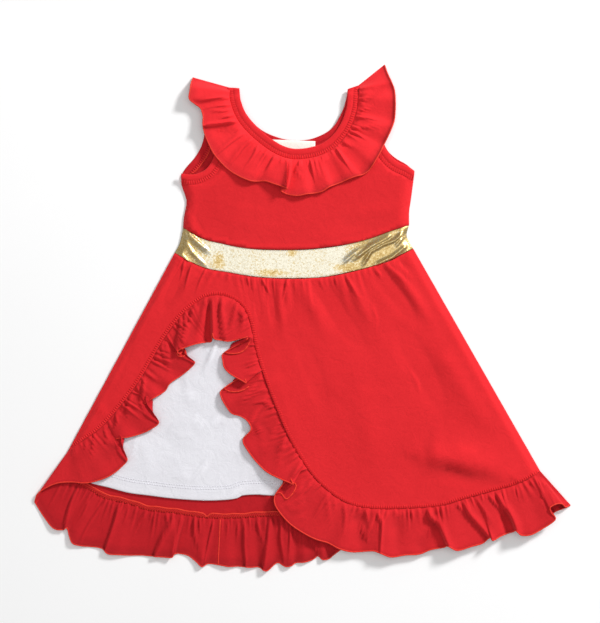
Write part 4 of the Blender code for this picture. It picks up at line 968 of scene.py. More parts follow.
def grid_faces(rows, columns):
    faces = []
    for row in range(rows - 1):
        for i in range(columns - 1):
            a = row * columns + i
            faces.append((a, a + 1, a + columns + 1, a + columns))
    return faces


def faces_up(points, faces):
    """The faces, turned over if most of them look down."""
    total = 0.0
    for face in faces:
        a, b, c = (points[i] for i in face[:3])
        total += (b[0] - a[0]) * (c[1] - a[1]) - (b[1] - a[1]) * (c[0] - a[0])
    return faces if total > 0 else [face[::-1] for face in faces]


def add_sheet(name, grid, materials, thickness=JERSEY):
    """A sheet from rows of points on its upper side."""
    points = [point for row in grid for point in row]
    faces = faces_up(points, grid_faces(len(grid), len(grid[0])))
    piece = add_mesh(name, points, faces, materials)
    thicken(piece, thickness)
    return piece


def add_cloth(name, grid, node, materials, thickness=JERSEY):
    """A sheet that stands for one solid of the frame."""
    piece = add_sheet(name, grid, materials, thickness)
    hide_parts(node)
    return piece


FACE_UP = (RED, RED_INSIDE)
COLLAR_UP = (RED_COLLAR_PAINTED_LIGHT, RED_INSIDE)
RUFFLE_UP = (RED_RUFFLE_PAINTED_SHADE, RED_INSIDE)
REVERSE_UP = (RED_INSIDE, RED)
WHITE_UP = (WHITE, WHITE)

# %% [markdown]
# ## Gathers
#
# Where a long edge is sewn to a short one, the spare cloth stands in small ridges. They are
# uneven, high and close at the seam, and they fade at different lengths. Each is a ridge with a
# sharper trough beside it. The large ones are in the table above. A seeded draw adds the small
# ones between them, so that they come out the same in each run.

# %% Ridges of a gathered seam
# Least and most of a small gather's reach and height, as shares of the usual, of its half width in
# millimetres, and of the room to the next one, as a share of the spacing.
REACH_SPREAD = (0.3, 1.5)
HEIGHT_SPREAD = (0.3, 1.3)
WIDTH_SPREAD = (1.1, 2.4)
ROOM_SPREAD = (0.45, 1.6)
FIRST_ROOM = 0.6           # room at the seam's start, as a share of the spacing
LAST_ROOM = 0.4
TROUGH_AT = 1.9            # a ridge's trough: how many half widths it is beside the ridge
TROUGH_WIDTH = 0.75        # and its half width and depth, as shares of the ridge's
TROUGH_DEPTH = 0.45


def small_gathers(length, spacing, height, reach, seed):
    """Rows of place on the seam, reach, height and half width."""
    draw = random.Random(seed)
    rows = []
    place = spacing * FIRST_ROOM
    while place < length - spacing * LAST_ROOM:
        rows.append((place, reach * draw.uniform(*REACH_SPREAD),
                     height * draw.uniform(*HEIGHT_SPREAD), draw.uniform(*WIDTH_SPREAD)))
        place += spacing * draw.uniform(*ROOM_SPREAD)
    return rows


def ridge(across, width):
    """A rounded ridge with a sharper trough beside it."""
    trough = (across - TROUGH_AT * width) / (TROUGH_WIDTH * width)
    return math.exp(-(across / width) ** 2) - TROUGH_DEPTH * math.exp(-trough ** 2)


def gathered(rows, place, down, start_run):
    """The height that a table of gathers adds at a place along a seam and a distance from it."""
    total = 0.0
    for at, reach, height, width in rows:
        across = place - at
        if abs(across) < 5 * width and down < reach:
            fade = ease(reach, 0, down) * lerp(0.5, 1.0, ease(0, start_run, down))
            total += height * ridge(across, width) * fade
    return total


print("a ridge 1 mm high has a trough", round(-ridge(TROUGH_AT, 1), 2), "mm deep")

# %% [markdown]
# ## Skirts
#
# A gathered skirt is cut wider at its hem than at its waist, so its grain lines fan out from the
# waist to the lower seam. The mesh follows those lines, which also lets one grid follow the arch.
# The cloth dips at both seams, where the stitches hold it down.

# %% Fan lines of a skirt
SKIRT_COLUMN = 2.8         # spacing of the lines along the lower seam
SKIRT_DOWN = 60            # rows down a skirt, which are closer near the waist
SKIRT_ROWS = [0.972 * (i / SKIRT_DOWN) ** 1.3 for i in range(SKIRT_DOWN + 1)]
SKIRT_ROWS += [0.982, 0.99, 0.996, 1.0]      # and closest at the lower seam
WAIST_DIP = (0.5, 1.8)     # depth and width of the dip along the waist seam
LOWER_DIP = (0.6, 1.6)     # the same along the lower seam
GATHER_RISE = 9            # distance from the waist over which a gather comes up


def dip(depth, width, distance):
    """How far a line of stitches pulls the cloth down at a distance from it."""
    return depth * math.exp(-(distance / width) ** 2)


def skirt_grid(lower_rows, height, gathers, margin=0.0):
    """Rows of points from the waist seam to the lower seam."""
    lower = Seam(lower_rows)
    count = round(lower.length / SKIRT_COLUMN)
    lines = []
    for i in range(count + 1):
        length = lower.length * i / count
        share = clamp(lower.column(length, 2))
        place = margin + share * (WAIST_SEAM.length - 2 * margin)
        lines.append((place, WAIST_SEAM.at(place), lower.at(length)))
    grid = []
    for part in SKIRT_ROWS:
        row = []
        for place, top, end in lines:
            full = math.dist(top, end)
            x, y = lerp(top[0], end[0], part), lerp(top[1], end[1], part)
            down = part * full
            dips = dip(*WAIST_DIP, down) + dip(*LOWER_DIP, full - down)
            z = height(x, y, gathered(gathers, place, down, GATHER_RISE) - dips)
            row.append((x, y, max(z, LEAST_Z) + LIFT + JERSEY))
        grid.append(row)
    return grid


def waist_place(x):
    middle = WAIST_BOTTOM[len(WAIST_BOTTOM) // 2][1]
    return WAIST_SEAM.nearest(x, middle)[0]


# %% Gathers of the front and the back skirt
LARGE_REACH_SPREAD = (0.7, 1.6)
LARGE_WIDTH_SPREAD = (1.8, 3.6)
BACK_GATHERS = 0.25        # height of the back skirt's gathers, as a share of the front's

waist_draw = random.Random(8)
large = [
    (waist_place(x), length * waist_draw.uniform(*LARGE_REACH_SPREAD), height,
     waist_draw.uniform(*LARGE_WIDTH_SPREAD))
    for x, length, height in WAIST_GATHERS]
front_gathers = large + small_gathers(
    WAIST_SEAM.length, spacing=5.5, height=0.8, reach=20, seed=5)
back_gathers = [(WAIST_SEAM.length - place, reach, BACK_GATHERS * height, width)
                for place, reach, height, width in front_gathers]
print("gathers at the front waist:", len(front_gathers))

# %% Cut the three skirts
skirt_back = add_cloth("back_skirt_cloth", skirt_grid(BACK_SEAM, skirt_back_height, back_gathers),
                       "skirt_back", REVERSE_UP)
underskirt = add_cloth(
    "white_underskirt_cloth", skirt_grid(UNDERSKIRT_HEM, underskirt_height, [], UNDERSKIRT_IN),
    "underskirt_front", WHITE_UP)
skirt_front = add_cloth(
    "front_skirt_cloth", skirt_grid(FRONT_SEAM, skirt_front_height, front_gathers),
    "skirt_front", FACE_UP)
print("front skirt:", len(skirt_front.data.polygons), "faces")

# %% [markdown]
# ## Bodice
#
# The bodice panels have curved cut lines on every side, which a grid would not follow. Their
# outline is filled with an even net of points instead, joined by a Delaunay triangulation.

# %% Outline of a bodice panel
PANEL_STEP = 4.5
EDGE_STEP = 1.5            # spacing of points along a bound edge
STRAP_TURN = 1.5           # how far the neck binding's seam turns out at a strap's end


def binding_line(edge_rows, side, width, underarm=None):
    """The line a width in from a bound edge, which starts at the underarm."""
    points = moved_out(Seam(edge_rows).samples(EDGE_STEP), side * width)
    if edge_rows is NECK_FRONT:
        for i, strap in ((0, STRAP_LEFT), (-1, STRAP_RIGHT)):
            end = edge_rows[i]
            share = width / BINDING
            points[i] = (lerp(end[0], strap[0] + (STRAP_TURN if i else -STRAP_TURN), share),
                         lerp(end[1], strap[1] + SHOULDER_WRAP, share))
    if underarm:
        start = edge_rows[0]
        share = width / BINDING
        points[0] = (lerp(start[0], underarm[0], share), lerp(start[1], underarm[1], share))
    return points


def bodice_outline(arm_left, arm_right, neck):
    """Outline of a bodice panel, anticlockwise, tucked in under its bindings."""
    inner = BINDING - TUCK
    left = binding_line(arm_left, -1, inner, SIDE_LEFT[0])
    right = binding_line(arm_right, 1, inner, SIDE_RIGHT[0])
    seam = binding_line(neck, -1, inner)
    outline = WAIST_TOP_SEAM.samples(PANEL_STEP)
    outline += SIDE_SEAMS[1].samples(PANEL_STEP)[::-1][1:-1]
    outline += [p for p in right if p[1] < STRAP_RIGHT[1] - 2] + [STRAP_RIGHT]
    outline += [p for p in seam if p[1] < shoulder_y(p[0]) - 2][::-1] + [STRAP_LEFT]
    outline += [p for p in left if p[1] < STRAP_LEFT[1] - 2][::-1]
    outline += SIDE_SEAMS[0].samples(PANEL_STEP)[1:-1]
    return outline


print("outline of the front bodice:",
      len(bodice_outline(ARM_LEFT_FRONT, ARM_RIGHT_FRONT, NECK_FRONT)), "points")


# %% Fill an outline
def inside(outline, x, y):
    """Whether a spot is inside: a line from it crosses an odd number of sides."""
    hit = False
    for (x0, y0), (x1, y1) in zip(outline, outline[1:] + outline[:1]):
        if (y0 > y) != (y1 > y) and x < (x1 - x0) * (y - y0) / (y1 - y0) + x0:
            hit = not hit
    return hit


def net(outline, step):
    """Points of an even triangular net inside an outline, clear of its own points."""
    xs, ys = [p[0] for p in outline], [p[1] for p in outline]
    points = []
    row_step = step * math.sqrt(3) / 2
    for row in range(int((max(ys) - min(ys)) / row_step) + 1):
        y = min(ys) + row * row_step
        for i in range(int((max(xs) - min(xs)) / step) + 2):
            x = min(xs) + (i - 0.5 * (row % 2)) * step
            near = min((x - p[0]) ** 2 + (y - p[1]) ** 2 for p in outline)
            if near > (0.5 * step) ** 2 and inside(outline, x, y):
                points.append((x, y))
    return points


def add_panel(name, outline, height, node, materials):
    flat = outline + net(outline, PANEL_STEP)
    edges = [(i, (i + 1) % len(outline)) for i in range(len(outline))]
    result = delaunay_2d_cdt([Vector(p) for p in flat], edges, [], 1, 0.0001)
    points = [(p.x, p.y, height(p.x, p.y) + LIFT + JERSEY) for p in result[0]]
    faces = faces_up(points, [tuple(face) for face in result[2]])
    piece = add_mesh(name, points, faces, materials)
    thicken(piece, JERSEY)
    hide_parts(node)
    return piece


# %% Cut the two bodice panels
bodice_back = add_panel(
    "back_bodice_cloth", bodice_outline(ARM_LEFT_BACK, ARM_RIGHT_BACK, NECK_BACK),
    back_height, "bodice_back", REVERSE_UP)
bodice_front = add_panel(
    "front_bodice_cloth", bodice_outline(ARM_LEFT_FRONT, ARM_RIGHT_FRONT, NECK_FRONT),
    front_height, "bodice_front", FACE_UP)
print("front bodice:", len(bodice_front.data.polygons), "faces")

# %% [markdown]
# ## Bindings
#
# A binding is a strip folded round the raw edge. It is thicker than the panel and round at the
# fold, and its stitches press a groove into it. One profile of the strip, swept along the edge,
# has all of that.

# %% Sweep a binding
# Columns: share of the width from the fold to the seam, height over the underside.
BINDING_PROFILE = [
    (0.0, 0.75), (0.02, 1.2), (0.07, 1.55), (0.16, 1.74), (0.34, 1.8), (0.48, 1.66),
    (0.54, 1.3), (0.58, 1.14), (0.64, 1.24), (0.76, 1.28), (0.88, 1.2), (0.93, 1.1), (0.97, 0.9),
    (1.0, 0.6), (1.0, 0.3), (0.7, 0.1), (0.35, 0.1), (0.08, 0.14), (0.01, 0.4)]


def add_binding(name, edge_rows, side, height, node, materials, underarm=None):
    """A folded strip from its free edge to its seam."""
    edge = Seam(edge_rows).samples(EDGE_STEP)
    seam = binding_line(edge_rows, side, BINDING, underarm)
    size = len(BINDING_PROFILE)
    points = []
    for a, b in zip(edge, seam):
        for share, rise in BINDING_PROFILE:
            x, y = lerp(a[0], b[0], share), lerp(a[1], b[1], share)
            points.append((x, y, height(x, y) + rise))
    faces = []
    for i in range(len(edge) - 1):
        for j in range(size):
            a, b = i * size + j, i * size + (j + 1) % size
            faces.append((a, b, b + size, a + size))
    last = size * (len(edge) - 1)
    faces += [tuple(range(size))[::-1], tuple(range(last, last + size))]
    if side > 0:
        faces = [face[::-1] for face in faces]
    piece = add_mesh(name, points, faces, materials)
    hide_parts(node)
    return piece


def binding_stitch_line(edge_rows, side, share, underarm=None):
    """A line along a binding, at a share of its width from the fold."""
    edge = Seam(edge_rows).samples(EDGE_STEP)
    seam = binding_line(edge_rows, side, BINDING, underarm)
    return [(lerp(a[0], b[0], share), lerp(a[1], b[1], share)) for a, b in zip(edge, seam)]


# %% Bind the neck and the armholes
neck_binding_back = add_binding(
    "back_neck_binding_cloth", NECK_BACK, -1, back_height, "neck_binding_back", (RED_INSIDE,))
neck_binding_front = add_binding(
    "front_neck_binding_cloth", NECK_FRONT, -1, front_height, "neck_binding_front", (RED,))
ARMHOLES = (
    ("left_back", ARM_LEFT_BACK, -1, back_height, RED_INSIDE, SIDE_LEFT[0]),
    ("left_front", ARM_LEFT_FRONT, -1, front_height, RED, SIDE_LEFT[0]),
    ("right_back", ARM_RIGHT_BACK, 1, back_height, RED_INSIDE, SIDE_RIGHT[0]),
    ("right_front", ARM_RIGHT_FRONT, 1, front_height, RED, SIDE_RIGHT[0]))
armhole_bindings = []
for name, rows, side, height, material, underarm in ARMHOLES:
    armhole_bindings.append(add_binding(
        f"{name}_armhole_binding_cloth", rows, side, height, f"armhole_binding_{name}",
        (material,), underarm))
print("bindings:", 2 + len(armhole_bindings))

# %% [markdown]
# ## Ruffles
#
# Each column of a ruffle's mesh runs from its seam to its free edge. The fold tables give where
# the free edge lies. In between, the cloth rises like a fan that opens, and near the seam it
# stands in gathers. At a rolled fold the outer part of the column turns back on itself, so the
# reverse side shows.

# %% Where the folds start on the seam
ROOT_EASING = 6            # rounds of spreading the folds' starts along the seam
ROOT_LEAST = 0.3           # least share of the even spacing between two folds' starts


def root_lengths(root, folds):
    """Where each fold starts on the seam: the nearest place, kept in order."""
    count = len(folds)
    least = ROOT_LEAST * root.length / count
    wanted = [root.nearest(row[0], row[1])[0] for row in folds]
    wanted[0], wanted[-1] = 0.0, root.length
    forward, backward = wanted[:], wanted[:]
    for i in range(1, count):
        forward[i] = max(forward[i], forward[i - 1] + least)
    for i in range(count - 2, -1, -1):
        backward[i] = min(backward[i], backward[i + 1] - least)
    lengths = [clamp(0.5 * (a + b), 0, root.length) for a, b in zip(forward, backward)]
    lengths[0], lengths[-1] = 0.0, root.length
    for _ in range(ROOT_EASING):
        eased = [0.25 * a + 0.5 * b + 0.25 * c for a, b, c in zip(lengths, lengths[1:], lengths[2:])]
        lengths[1:-1] = eased
    return lengths


# %% One column of a ruffle
ROLL_START = 0.8           # share of the width where a full roll turns over
ROLL_LIFT = 2.7            # height of a full roll
FULL_ROLL = 6.0            # a roll this wide has its full height


def swell(share):
    """How much of a fold's rise the cloth has at a share of the ruffle's width."""
    return math.sin(share * math.pi / 2) ** 0.8


def rolled(share, roll, width):
    """How far out a share of the cloth lies, and how high the roll lifts it."""
    whole = clamp(roll / FULL_ROLL)
    turn = lerp(ROLL_START, 1.0, 1 - whole)
    if share <= ROLL_START:
        return turn * share / ROLL_START, 0.0
    after = (share - ROLL_START) / (1 - ROLL_START)
    return lerp(turn, 1 - roll / width, after), ROLL_LIFT * whole * math.sin(after * math.pi / 2)


# %% The mesh of a ruffle
LEVEL_ENDS = 12            # a ruffle is free of gathers this near to its ends
RUFFLE_GATHER_RISE = 5     # distance from the seam over which a gather comes up


def just_off_surface(x, y):
    return LEAST_Z


def end_rise(length, full, reach):
    """0 at both ends of a ruffle, 1 further than reach from them."""
    return ease(0, reach, min(length, full - length))


def ruffle_grid(root, folds, level, gathers, marks, parts, samples, rolls=False,
                least=just_off_surface):
    """Rows of points from the seam to the free edge, several columns to each fold row."""
    starts = [(length,) for length in root_lengths(root, folds)]
    columns = []
    for i in range(samples * (len(folds) - 1) + 1):
        place = i / samples
        length = clamp(curve_value(starts, place, 0), 0, root.length)
        start = root.at(length)
        edge = (curve_value(folds, place, 0), curve_value(folds, place, 1))
        rise = max(curve_value(folds, place, 2), 0.0)
        roll = max(curve_value(folds, place, 3), 0.0) if rolls else 0.0
        width = max(math.dist(start, edge), 1.0)
        ends = end_rise(length, root.length, LEVEL_ENDS)
        column = []
        for share in parts:
            out, lift = rolled(share, roll, width)
            x, y = lerp(start[0], edge[0], out), lerp(start[1], edge[1], out)
            z = level(length, share) + rise * swell(share) + lift
            z += ends * gathered(gathers, length, share * width, RUFFLE_GATHER_RISE)
            z += ends * creases(marks, x, y) * ease(0, 0.1, share)
            column.append((x, y, max(z, least(x, y)) + LIFT + JERSEY))
        columns.append(column)
    return [list(row) for row in zip(*columns)]


# %% The seams that the ruffles hang from
STRAP_IN = 2.0             # how far in from the left strap's end the neck ruffle starts


def wrapped(seam):
    """The neck seam with a short run past the straps' ends at both shoulders."""
    rows = [p for p in seam.rows if p[1] < shoulder_y(p[0]) - 4]
    inner = STRAP_LEFT[0] + STRAP_IN
    return Seam([(inner, STRAP_LEFT[1] + SHOULDER_WRAP), (inner, STRAP_LEFT[1])] + rows
                + [STRAP_RIGHT, (STRAP_RIGHT[0], STRAP_RIGHT[1] + SHOULDER_WRAP)])


FRONT_ROOT = Seam(Seam(FRONT_SEAM).samples(RUFFLE_STEP), 4)
BACK_ROOT = Seam(Seam(BACK_SEAM).samples(RUFFLE_STEP), 4)
NECK_ROOT = Seam(wrapped(NECK_FRONT_SEAM).samples(RUFFLE_STEP), 4)
NECK_BACK_ROOT = Seam(wrapped(NECK_BACK_SEAM).samples(RUFFLE_STEP), 4)
print("ruffle seams:", [round(root.length) for root in (
    FRONT_ROOT, BACK_ROOT, NECK_ROOT, NECK_BACK_ROOT)], "mm")


# %% Levels of the ruffles' undersides
OVER_HEM = 3.4             # least height of the front ruffle over the underskirt's hem
OVER_BACK_X = (-40, 10)    # x from which the front ruffle comes up over the back one, and up to which
ARCH_Y = -120              # it does so only below this
CORNER = 60                # length of its left corner, which lies on the back ruffle as well
SEAM_HOLD = 0.7            # how far the seam holds the front ruffle down
COLLAR_START = 0.3         # how far over the bodice the neck ruffle starts


def front_ruffle_level(length, share):
    """Higher where the back ruffle lies under it: at the left corner and right of the arch."""
    x, y = FRONT_ROOT.at(length)
    over_back = ease(*OVER_BACK_X, x) if y < ARCH_Y else 0.0
    corner = 1 - ease(0, CORNER, length)
    height = lerp(SKIRT_FRONT_Z, HEM_EDGE_Z, share * max(over_back, corner))
    height -= SEAM_HOLD * (1 - ease(0, 0.06, share))
    return lerp(JOIN_Z, height, end_rise(length, FRONT_ROOT.length, 10))


def neck_ruffle_level(length, share):
    """It comes up over the bodice within an eighth of its width."""
    height = lerp(NECK_FRONT_Z + COLLAR_START, NECK_RUFFLE_Z, ease(0, 0.12, share))
    return lerp(JOIN_Z, height, end_rise(length, NECK_ROOT.length, 6))


def over_underskirt(x, y):
    """The least height of the front ruffle, over the white hem and inside the arch."""
    over = ease(-214, -206, y) * ease(-262, -250, x)
    return lerp(LEAST_Z, OVER_HEM, over)


print("waist end of the front ruffle:", front_ruffle_level(0, 0), "mm high")


# %% Folds of the stretches that don't show
def hidden_back_folds():
    """The rest of the back ruffle: even waves under the front one."""
    edge = Seam(BACK_HIDDEN_EDGE)
    rows = []
    count = 2 * BACK_HIDDEN_FOLDS
    for i in range(count + 1):
        x, y = edge.at(edge.length * i / count)
        rise = BACK_HIDDEN_RISE * ease(0, 40, edge.length * (1 - i / count))
        rows.append((x, y - i % 2, rise if i % 2 else 0.0))
    return rows


def neck_back_folds():
    """Folds of the hidden back neck ruffle, a set width out from the back neck seam."""
    seam = Seam(moved_out(NECK_BACK, -BINDING - NECK_RUFFLE_BACK))
    rows = [(*NECK_BACK_ENDS[0], 0.0)]
    count = 2 * NECK_BACK_FOLDS
    for i in range(1, count):
        x, y = seam.at(seam.length * i / count)
        if y < 262:
            rows.append((x, y, NECK_BACK_RISE if i % 2 else 0.0))
    return rows + [(*NECK_BACK_ENDS[1], 0.0)]


print("hidden folds:", len(hidden_back_folds()), "below and", len(neck_back_folds()), "at the neck")


# %% Gather the four ruffles
# Shares of a ruffle's width at which it has a row of points.
FINE_PARTS = [0, 0.02, 0.05, 0.09, 0.14, 0.2, 0.27, 0.34, 0.42, 0.5, 0.58, 0.66, 0.73, 0.78, 0.8,
              0.83, 0.87, 0.91, 0.95, 0.98, 1]
PLAIN_PARTS = [0, 0.03, 0.07, 0.12, 0.18, 0.25, 0.33, 0.42, 0.52, 0.62, 0.72, 0.81, 0.89, 0.95, 1]

# Columns of points from one row of a fold table to the next.
NECK_BACK_SAMPLES = 6
NECK_SAMPLES = 15
BACK_SAMPLES = 12
FRONT_SAMPLES = 14

neck_back_grid = ruffle_grid(
    NECK_BACK_ROOT, neck_back_folds(), on_surface, [], [], PLAIN_PARTS, NECK_BACK_SAMPLES)
neck_grid = ruffle_grid(
    NECK_ROOT, NECK_FOLDS, neck_ruffle_level,
    small_gathers(NECK_ROOT.length, spacing=8.0, height=1.2, reach=17, seed=11),
    NECK_CREASES, PLAIN_PARTS, NECK_SAMPLES)
back_grid = ruffle_grid(
    BACK_ROOT, BACK_FOLDS + hidden_back_folds(), on_surface,
    small_gathers(BACK_ROOT.length, spacing=7.0, height=1.9, reach=22, seed=23),
    BACK_RUFFLE_CREASES, PLAIN_PARTS, BACK_SAMPLES)
front_grid = ruffle_grid(
    FRONT_ROOT, FRONT_FOLDS, front_ruffle_level,
    small_gathers(FRONT_ROOT.length, spacing=9.5, height=2.0, reach=19, seed=31),
    FRONT_RUFFLE_CREASES, FINE_PARTS, FRONT_SAMPLES, rolls=True, least=over_underskirt)
neck_ruffle_back = add_cloth(
    "back_neck_ruffle_cloth", neck_back_grid, "neck_ruffle_back", REVERSE_UP)
neck_ruffle = add_cloth("front_neck_ruffle_cloth", neck_grid, "neck_ruffle_front", COLLAR_UP)
back_ruffle = add_cloth("back_hem_ruffle_cloth", back_grid, "skirt_ruffle_back", REVERSE_UP)
front_ruffle = add_cloth("front_hem_ruffle_cloth", front_grid, "skirt_ruffle_front", RUFFLE_UP)
print("front ruffle:", len(front_ruffle.data.polygons), "faces")

# %% Colour the stretches of the front ruffle that turn their inside up, and its two hollows, as painted shade
inside_and_shade_faces = 0
inside_and_shade_outlines = [[from_photo(x, y) for x, y in corners] for corners in INSIDES_AND_PAINTED_SHADE]
for face in front_ruffle.data.polygons:
    if any(inside(corners, face.center.x / MM, face.center.y / MM) for corners in inside_and_shade_outlines):
        face.material_index = 1
        inside_and_shade_faces += 1
print("faces of its inside:", inside_and_shade_faces)

# %% [markdown]
# ## Waistband
#
# The band is foil on a knit, pulled crooked at its ends. Its creases matter more than its
# colour, because foil shows each slope as light or dark.

# %% Lay the waistband
BAND_BEND = 0.15           # share of its length at each end that the side seam bends
BAND_WIDTH = 30
BAND_DIP = (0.5, 1.5)      # depth and width of the dip along its two seams


def band_grid(height, columns, cells):
    left, right = BAND_ENDS
    grid = []
    for row in range(cells + 1):
        down = row / cells
        start, end = left.at(left.length * down), right.at(right.length * down)
        straight = (lerp(WAIST_TOP[0][0], WAIST_BOTTOM[0][0], down),
                    lerp(WAIST_TOP[-1][0], WAIST_BOTTOM[-1][0], down))
        points = []
        for i in range(columns + 1):
            share = i / columns
            top = WAIST_TOP_SEAM.at(WAIST_TOP_SEAM.length * share)
            low = WAIST_SEAM.at(WAIST_SEAM.length * share)
            x, y = lerp(top[0], low[0], down), lerp(top[1], low[1], down)
            x += (start[0] - straight[0]) * ease(BAND_BEND, 0, share)
            x += (end[0] - straight[1]) * ease(1 - BAND_BEND, 1, share)
            z = height(x, y) - dip(*BAND_DIP, min(down, 1 - down) * BAND_WIDTH)
            points.append((x, y, max(z, LEAST_Z) + LIFT + JERSEY))
        grid.append(points)
    return grid


band_back = add_cloth(
    "back_waistband_cloth", band_grid(on_surface, columns=60, cells=10), "waistband_back",
    (GOLD, GOLD))
band_front = add_cloth(
    "front_waistband_cloth", band_grid(band_height, columns=220, cells=26), "waistband_front",
    (GOLD, GOLD))
print("waistband:", len(band_front.data.polygons), "faces")

# %% [markdown]
# ## Label
#
# A woven label is a folded tape, sewn by its upper edge inside the back neck. It stays bare.

# %% Sew in the label
LABEL_ENDS = ((-38, 209), (15, 207))
LABEL_DEPTH = 20.0
LABEL_Z = 4.5
TAPE_THICKNESS = 0.6


def label_grid(columns, rows):
    (x0, y0), (x1, y1) = LABEL_ENDS
    grid = []
    for row in range(rows + 1):
        down = LABEL_DEPTH * row / rows
        grid.append([(lerp(x0, x1, i / columns), lerp(y0, y1, i / columns) - down,
                      LABEL_Z + 0.2 * math.sin(i / columns * 5 + row / rows * 2) + JERSEY)
                     for i in range(columns + 1)])
    return grid


label = add_cloth(
    "neck_label_tape", label_grid(columns=24, rows=10), "neck_label", (TAPE, TAPE), TAPE_THICKNESS)
print("label:", len(label.data.polygons), "faces")

# %% [markdown]
# ## Thread
#
# The free edges are serged: a machine wraps thread round the raw edge, loop after loop. A flat
# tube that bulges at each loop gives that look for few faces. The seams are held by a
# coverstitch, whose loops cross the seam like a ladder, and the white hem by two rows of short
# stitches. Each stitch is laid on the cloth by dropping a ray on it.

# %% Rings and tubes of thread
THREAD_SIDES = 6


def sideways(run):
    """The directions across a thread and out of the cloth, from its run."""
    across = run.cross(Vector((0, 0, 1))).normalized()
    return across, across.cross(run)


def thread_ring(centre, across, over):
    """Points round a thread. across and over are as long as its half width and half height."""
    turns = [2 * math.pi * k / THREAD_SIDES for k in range(THREAD_SIDES)]
    return [tuple(centre + across * math.cos(turn) + over * math.sin(turn)) for turn in turns]


def tube_faces(first, rings):
    """Faces of a closed tube whose rings start at point number first."""
    faces = []
    for ring in range(rings - 1):
        for k in range(THREAD_SIDES):
            p = first + ring * THREAD_SIDES + k
            q = first + ring * THREAD_SIDES + (k + 1) % THREAD_SIDES
            faces.append((p, p + THREAD_SIDES, q + THREAD_SIDES, q))
    last = first + (rings - 1) * THREAD_SIDES
    faces.append(tuple(range(first, first + THREAD_SIDES)))
    faces.append(tuple(range(last, last + THREAD_SIDES))[::-1])
    return faces


def spaced(path, step):
    """Points of a line in space, spaced evenly."""
    result = [Vector(path[0])]
    need = step
    for a, b in zip(path, path[1:]):
        a, b = Vector(a), Vector(b)
        run = (b - a).length
        while need <= run:
            result.append(a.lerp(b, need / run))
            need += step
        need -= run
    return result


# %% Lay a wrapped thread along an edge
WRAP = 1.6                 # length of one loop of the serging
WRAP_STEP = 0.55
WRAP_BULGE = 0.22
EDGE_DROP = 0.35           # from the cloth's upper side down to the middle of its thread
BACK_DROP = 0.3
# Half width and half height of the serging on each edge.
COLLAR_SERGE = (0.85, 0.6)
FRONT_SERGE = (0.8, 0.6)
BACK_SERGE = (0.75, 0.5)
ALLOWANCE_SERGE = (0.95, 0.5)
CURL_SERGE = (0.8, 0.5)
JOIN_SERGE = (0.7, 0.4)


def add_serging(name, path, half_width, half_height):
    """A flat tube that bulges once for each loop of thread."""
    spots = spaced(path, WRAP_STEP)
    points = []
    for i, spot in enumerate(spots):
        run = (spots[min(i + 1, len(spots) - 1)] - spots[max(i - 1, 0)]).normalized()
        across, over = sideways(run)
        full = 1 + WRAP_BULGE * math.cos(2 * math.pi * i * WRAP_STEP / WRAP)
        points += thread_ring(spot, across * half_width * full, over * half_height * full)
    return add_mesh(name, points, tube_faces(0, len(spots)), (ORANGE_THREAD,))


def lowered(row, drop):
    return [(x, y, z - drop) for x, y, z in row]


def showing(grid, samples):
    """The stretches of the front ruffle's edge that aren't rolled under on the arch's left."""
    stretches = [[]]
    for i, spot in enumerate(lowered(grid[-1], EDGE_DROP)):
        hidden = spot[0] < -120 and curve_value(FRONT_FOLDS, i / samples, 3) > 2
        if not hidden:
            stretches[-1].append(spot)
        elif stretches[-1]:
            stretches.append([])
    return [stretch for stretch in stretches if len(stretch) > 2]


# %% Serge the ruffles
serging_neck = add_serging(
    "neck_ruffle_serging", lowered(neck_grid[-1], EDGE_DROP), *COLLAR_SERGE)
serging_front = [
    add_serging(f"front_ruffle_serging_{i + 1}", stretch, *FRONT_SERGE)
    for i, stretch in enumerate(showing(front_grid, FRONT_SAMPLES))]
serging_back = add_serging("back_ruffle_serging", lowered(back_grid[-1], BACK_DROP), *BACK_SERGE)
print("serging:", sum(len(p.data.polygons) for p in [serging_neck, serging_back] + serging_front))


# %% Lay stitches on a piece
STITCH_RINGS = ((0.0, 0.35), (0.2, 1.0), (0.8, 1.0), (1.0, 0.35))  # share of length, of radius
STITCH_RISE = 0.4          # how far a stitch's middle is over the cloth, as a share of its radius
RAY_FROM = 0.1             # height in metres that a ray is dropped from


def surface_of(piece):
    return BVHTree.FromObject(piece, bpy.context.evaluated_depsgraph_get())


def height_on(tree, x, y):
    """The height of the uppermost surface at x, y, or None beside it."""
    hit = tree.ray_cast(Vector((x * MM, y * MM, RAY_FROM)), Vector((0, 0, -1)))[0]
    return hit.z / MM if hit else None


def stitches_on(tree, line, pitch, length, slant=0.0):
    """Start and end of each stitch along a line on a surface."""
    spots = spaced([(x, y, 0.0) for x, y in line], pitch)
    result = []
    for a, b in zip(spots, spots[1:]):
        run = (b - a).normalized()
        across = Vector((-run.y, run.x, 0))
        way = (run * math.cos(slant) + across * math.sin(slant)) * length / 2
        middle = (a + b) / 2
        ends = [middle - way, middle + way]
        heights = [height_on(tree, p.x, p.y) for p in ends]
        if None not in heights:
            result.append([Vector((p.x, p.y, z)) for p, z in zip(ends, heights)])
    return result


def add_stitches(name, pairs, radius, material):
    """Short rounded threads, half sunk in the cloth."""
    points, faces = [], []
    for a, b in pairs:
        across, over = sideways((b - a).normalized())
        faces += tube_faces(len(points), len(STITCH_RINGS))
        for share, size in STITCH_RINGS:
            centre = a.lerp(b, share) + over * radius * STITCH_RISE
            points += thread_ring(centre, across * radius * size, over * radius * size)
    return add_mesh(name, points, faces, (material,))


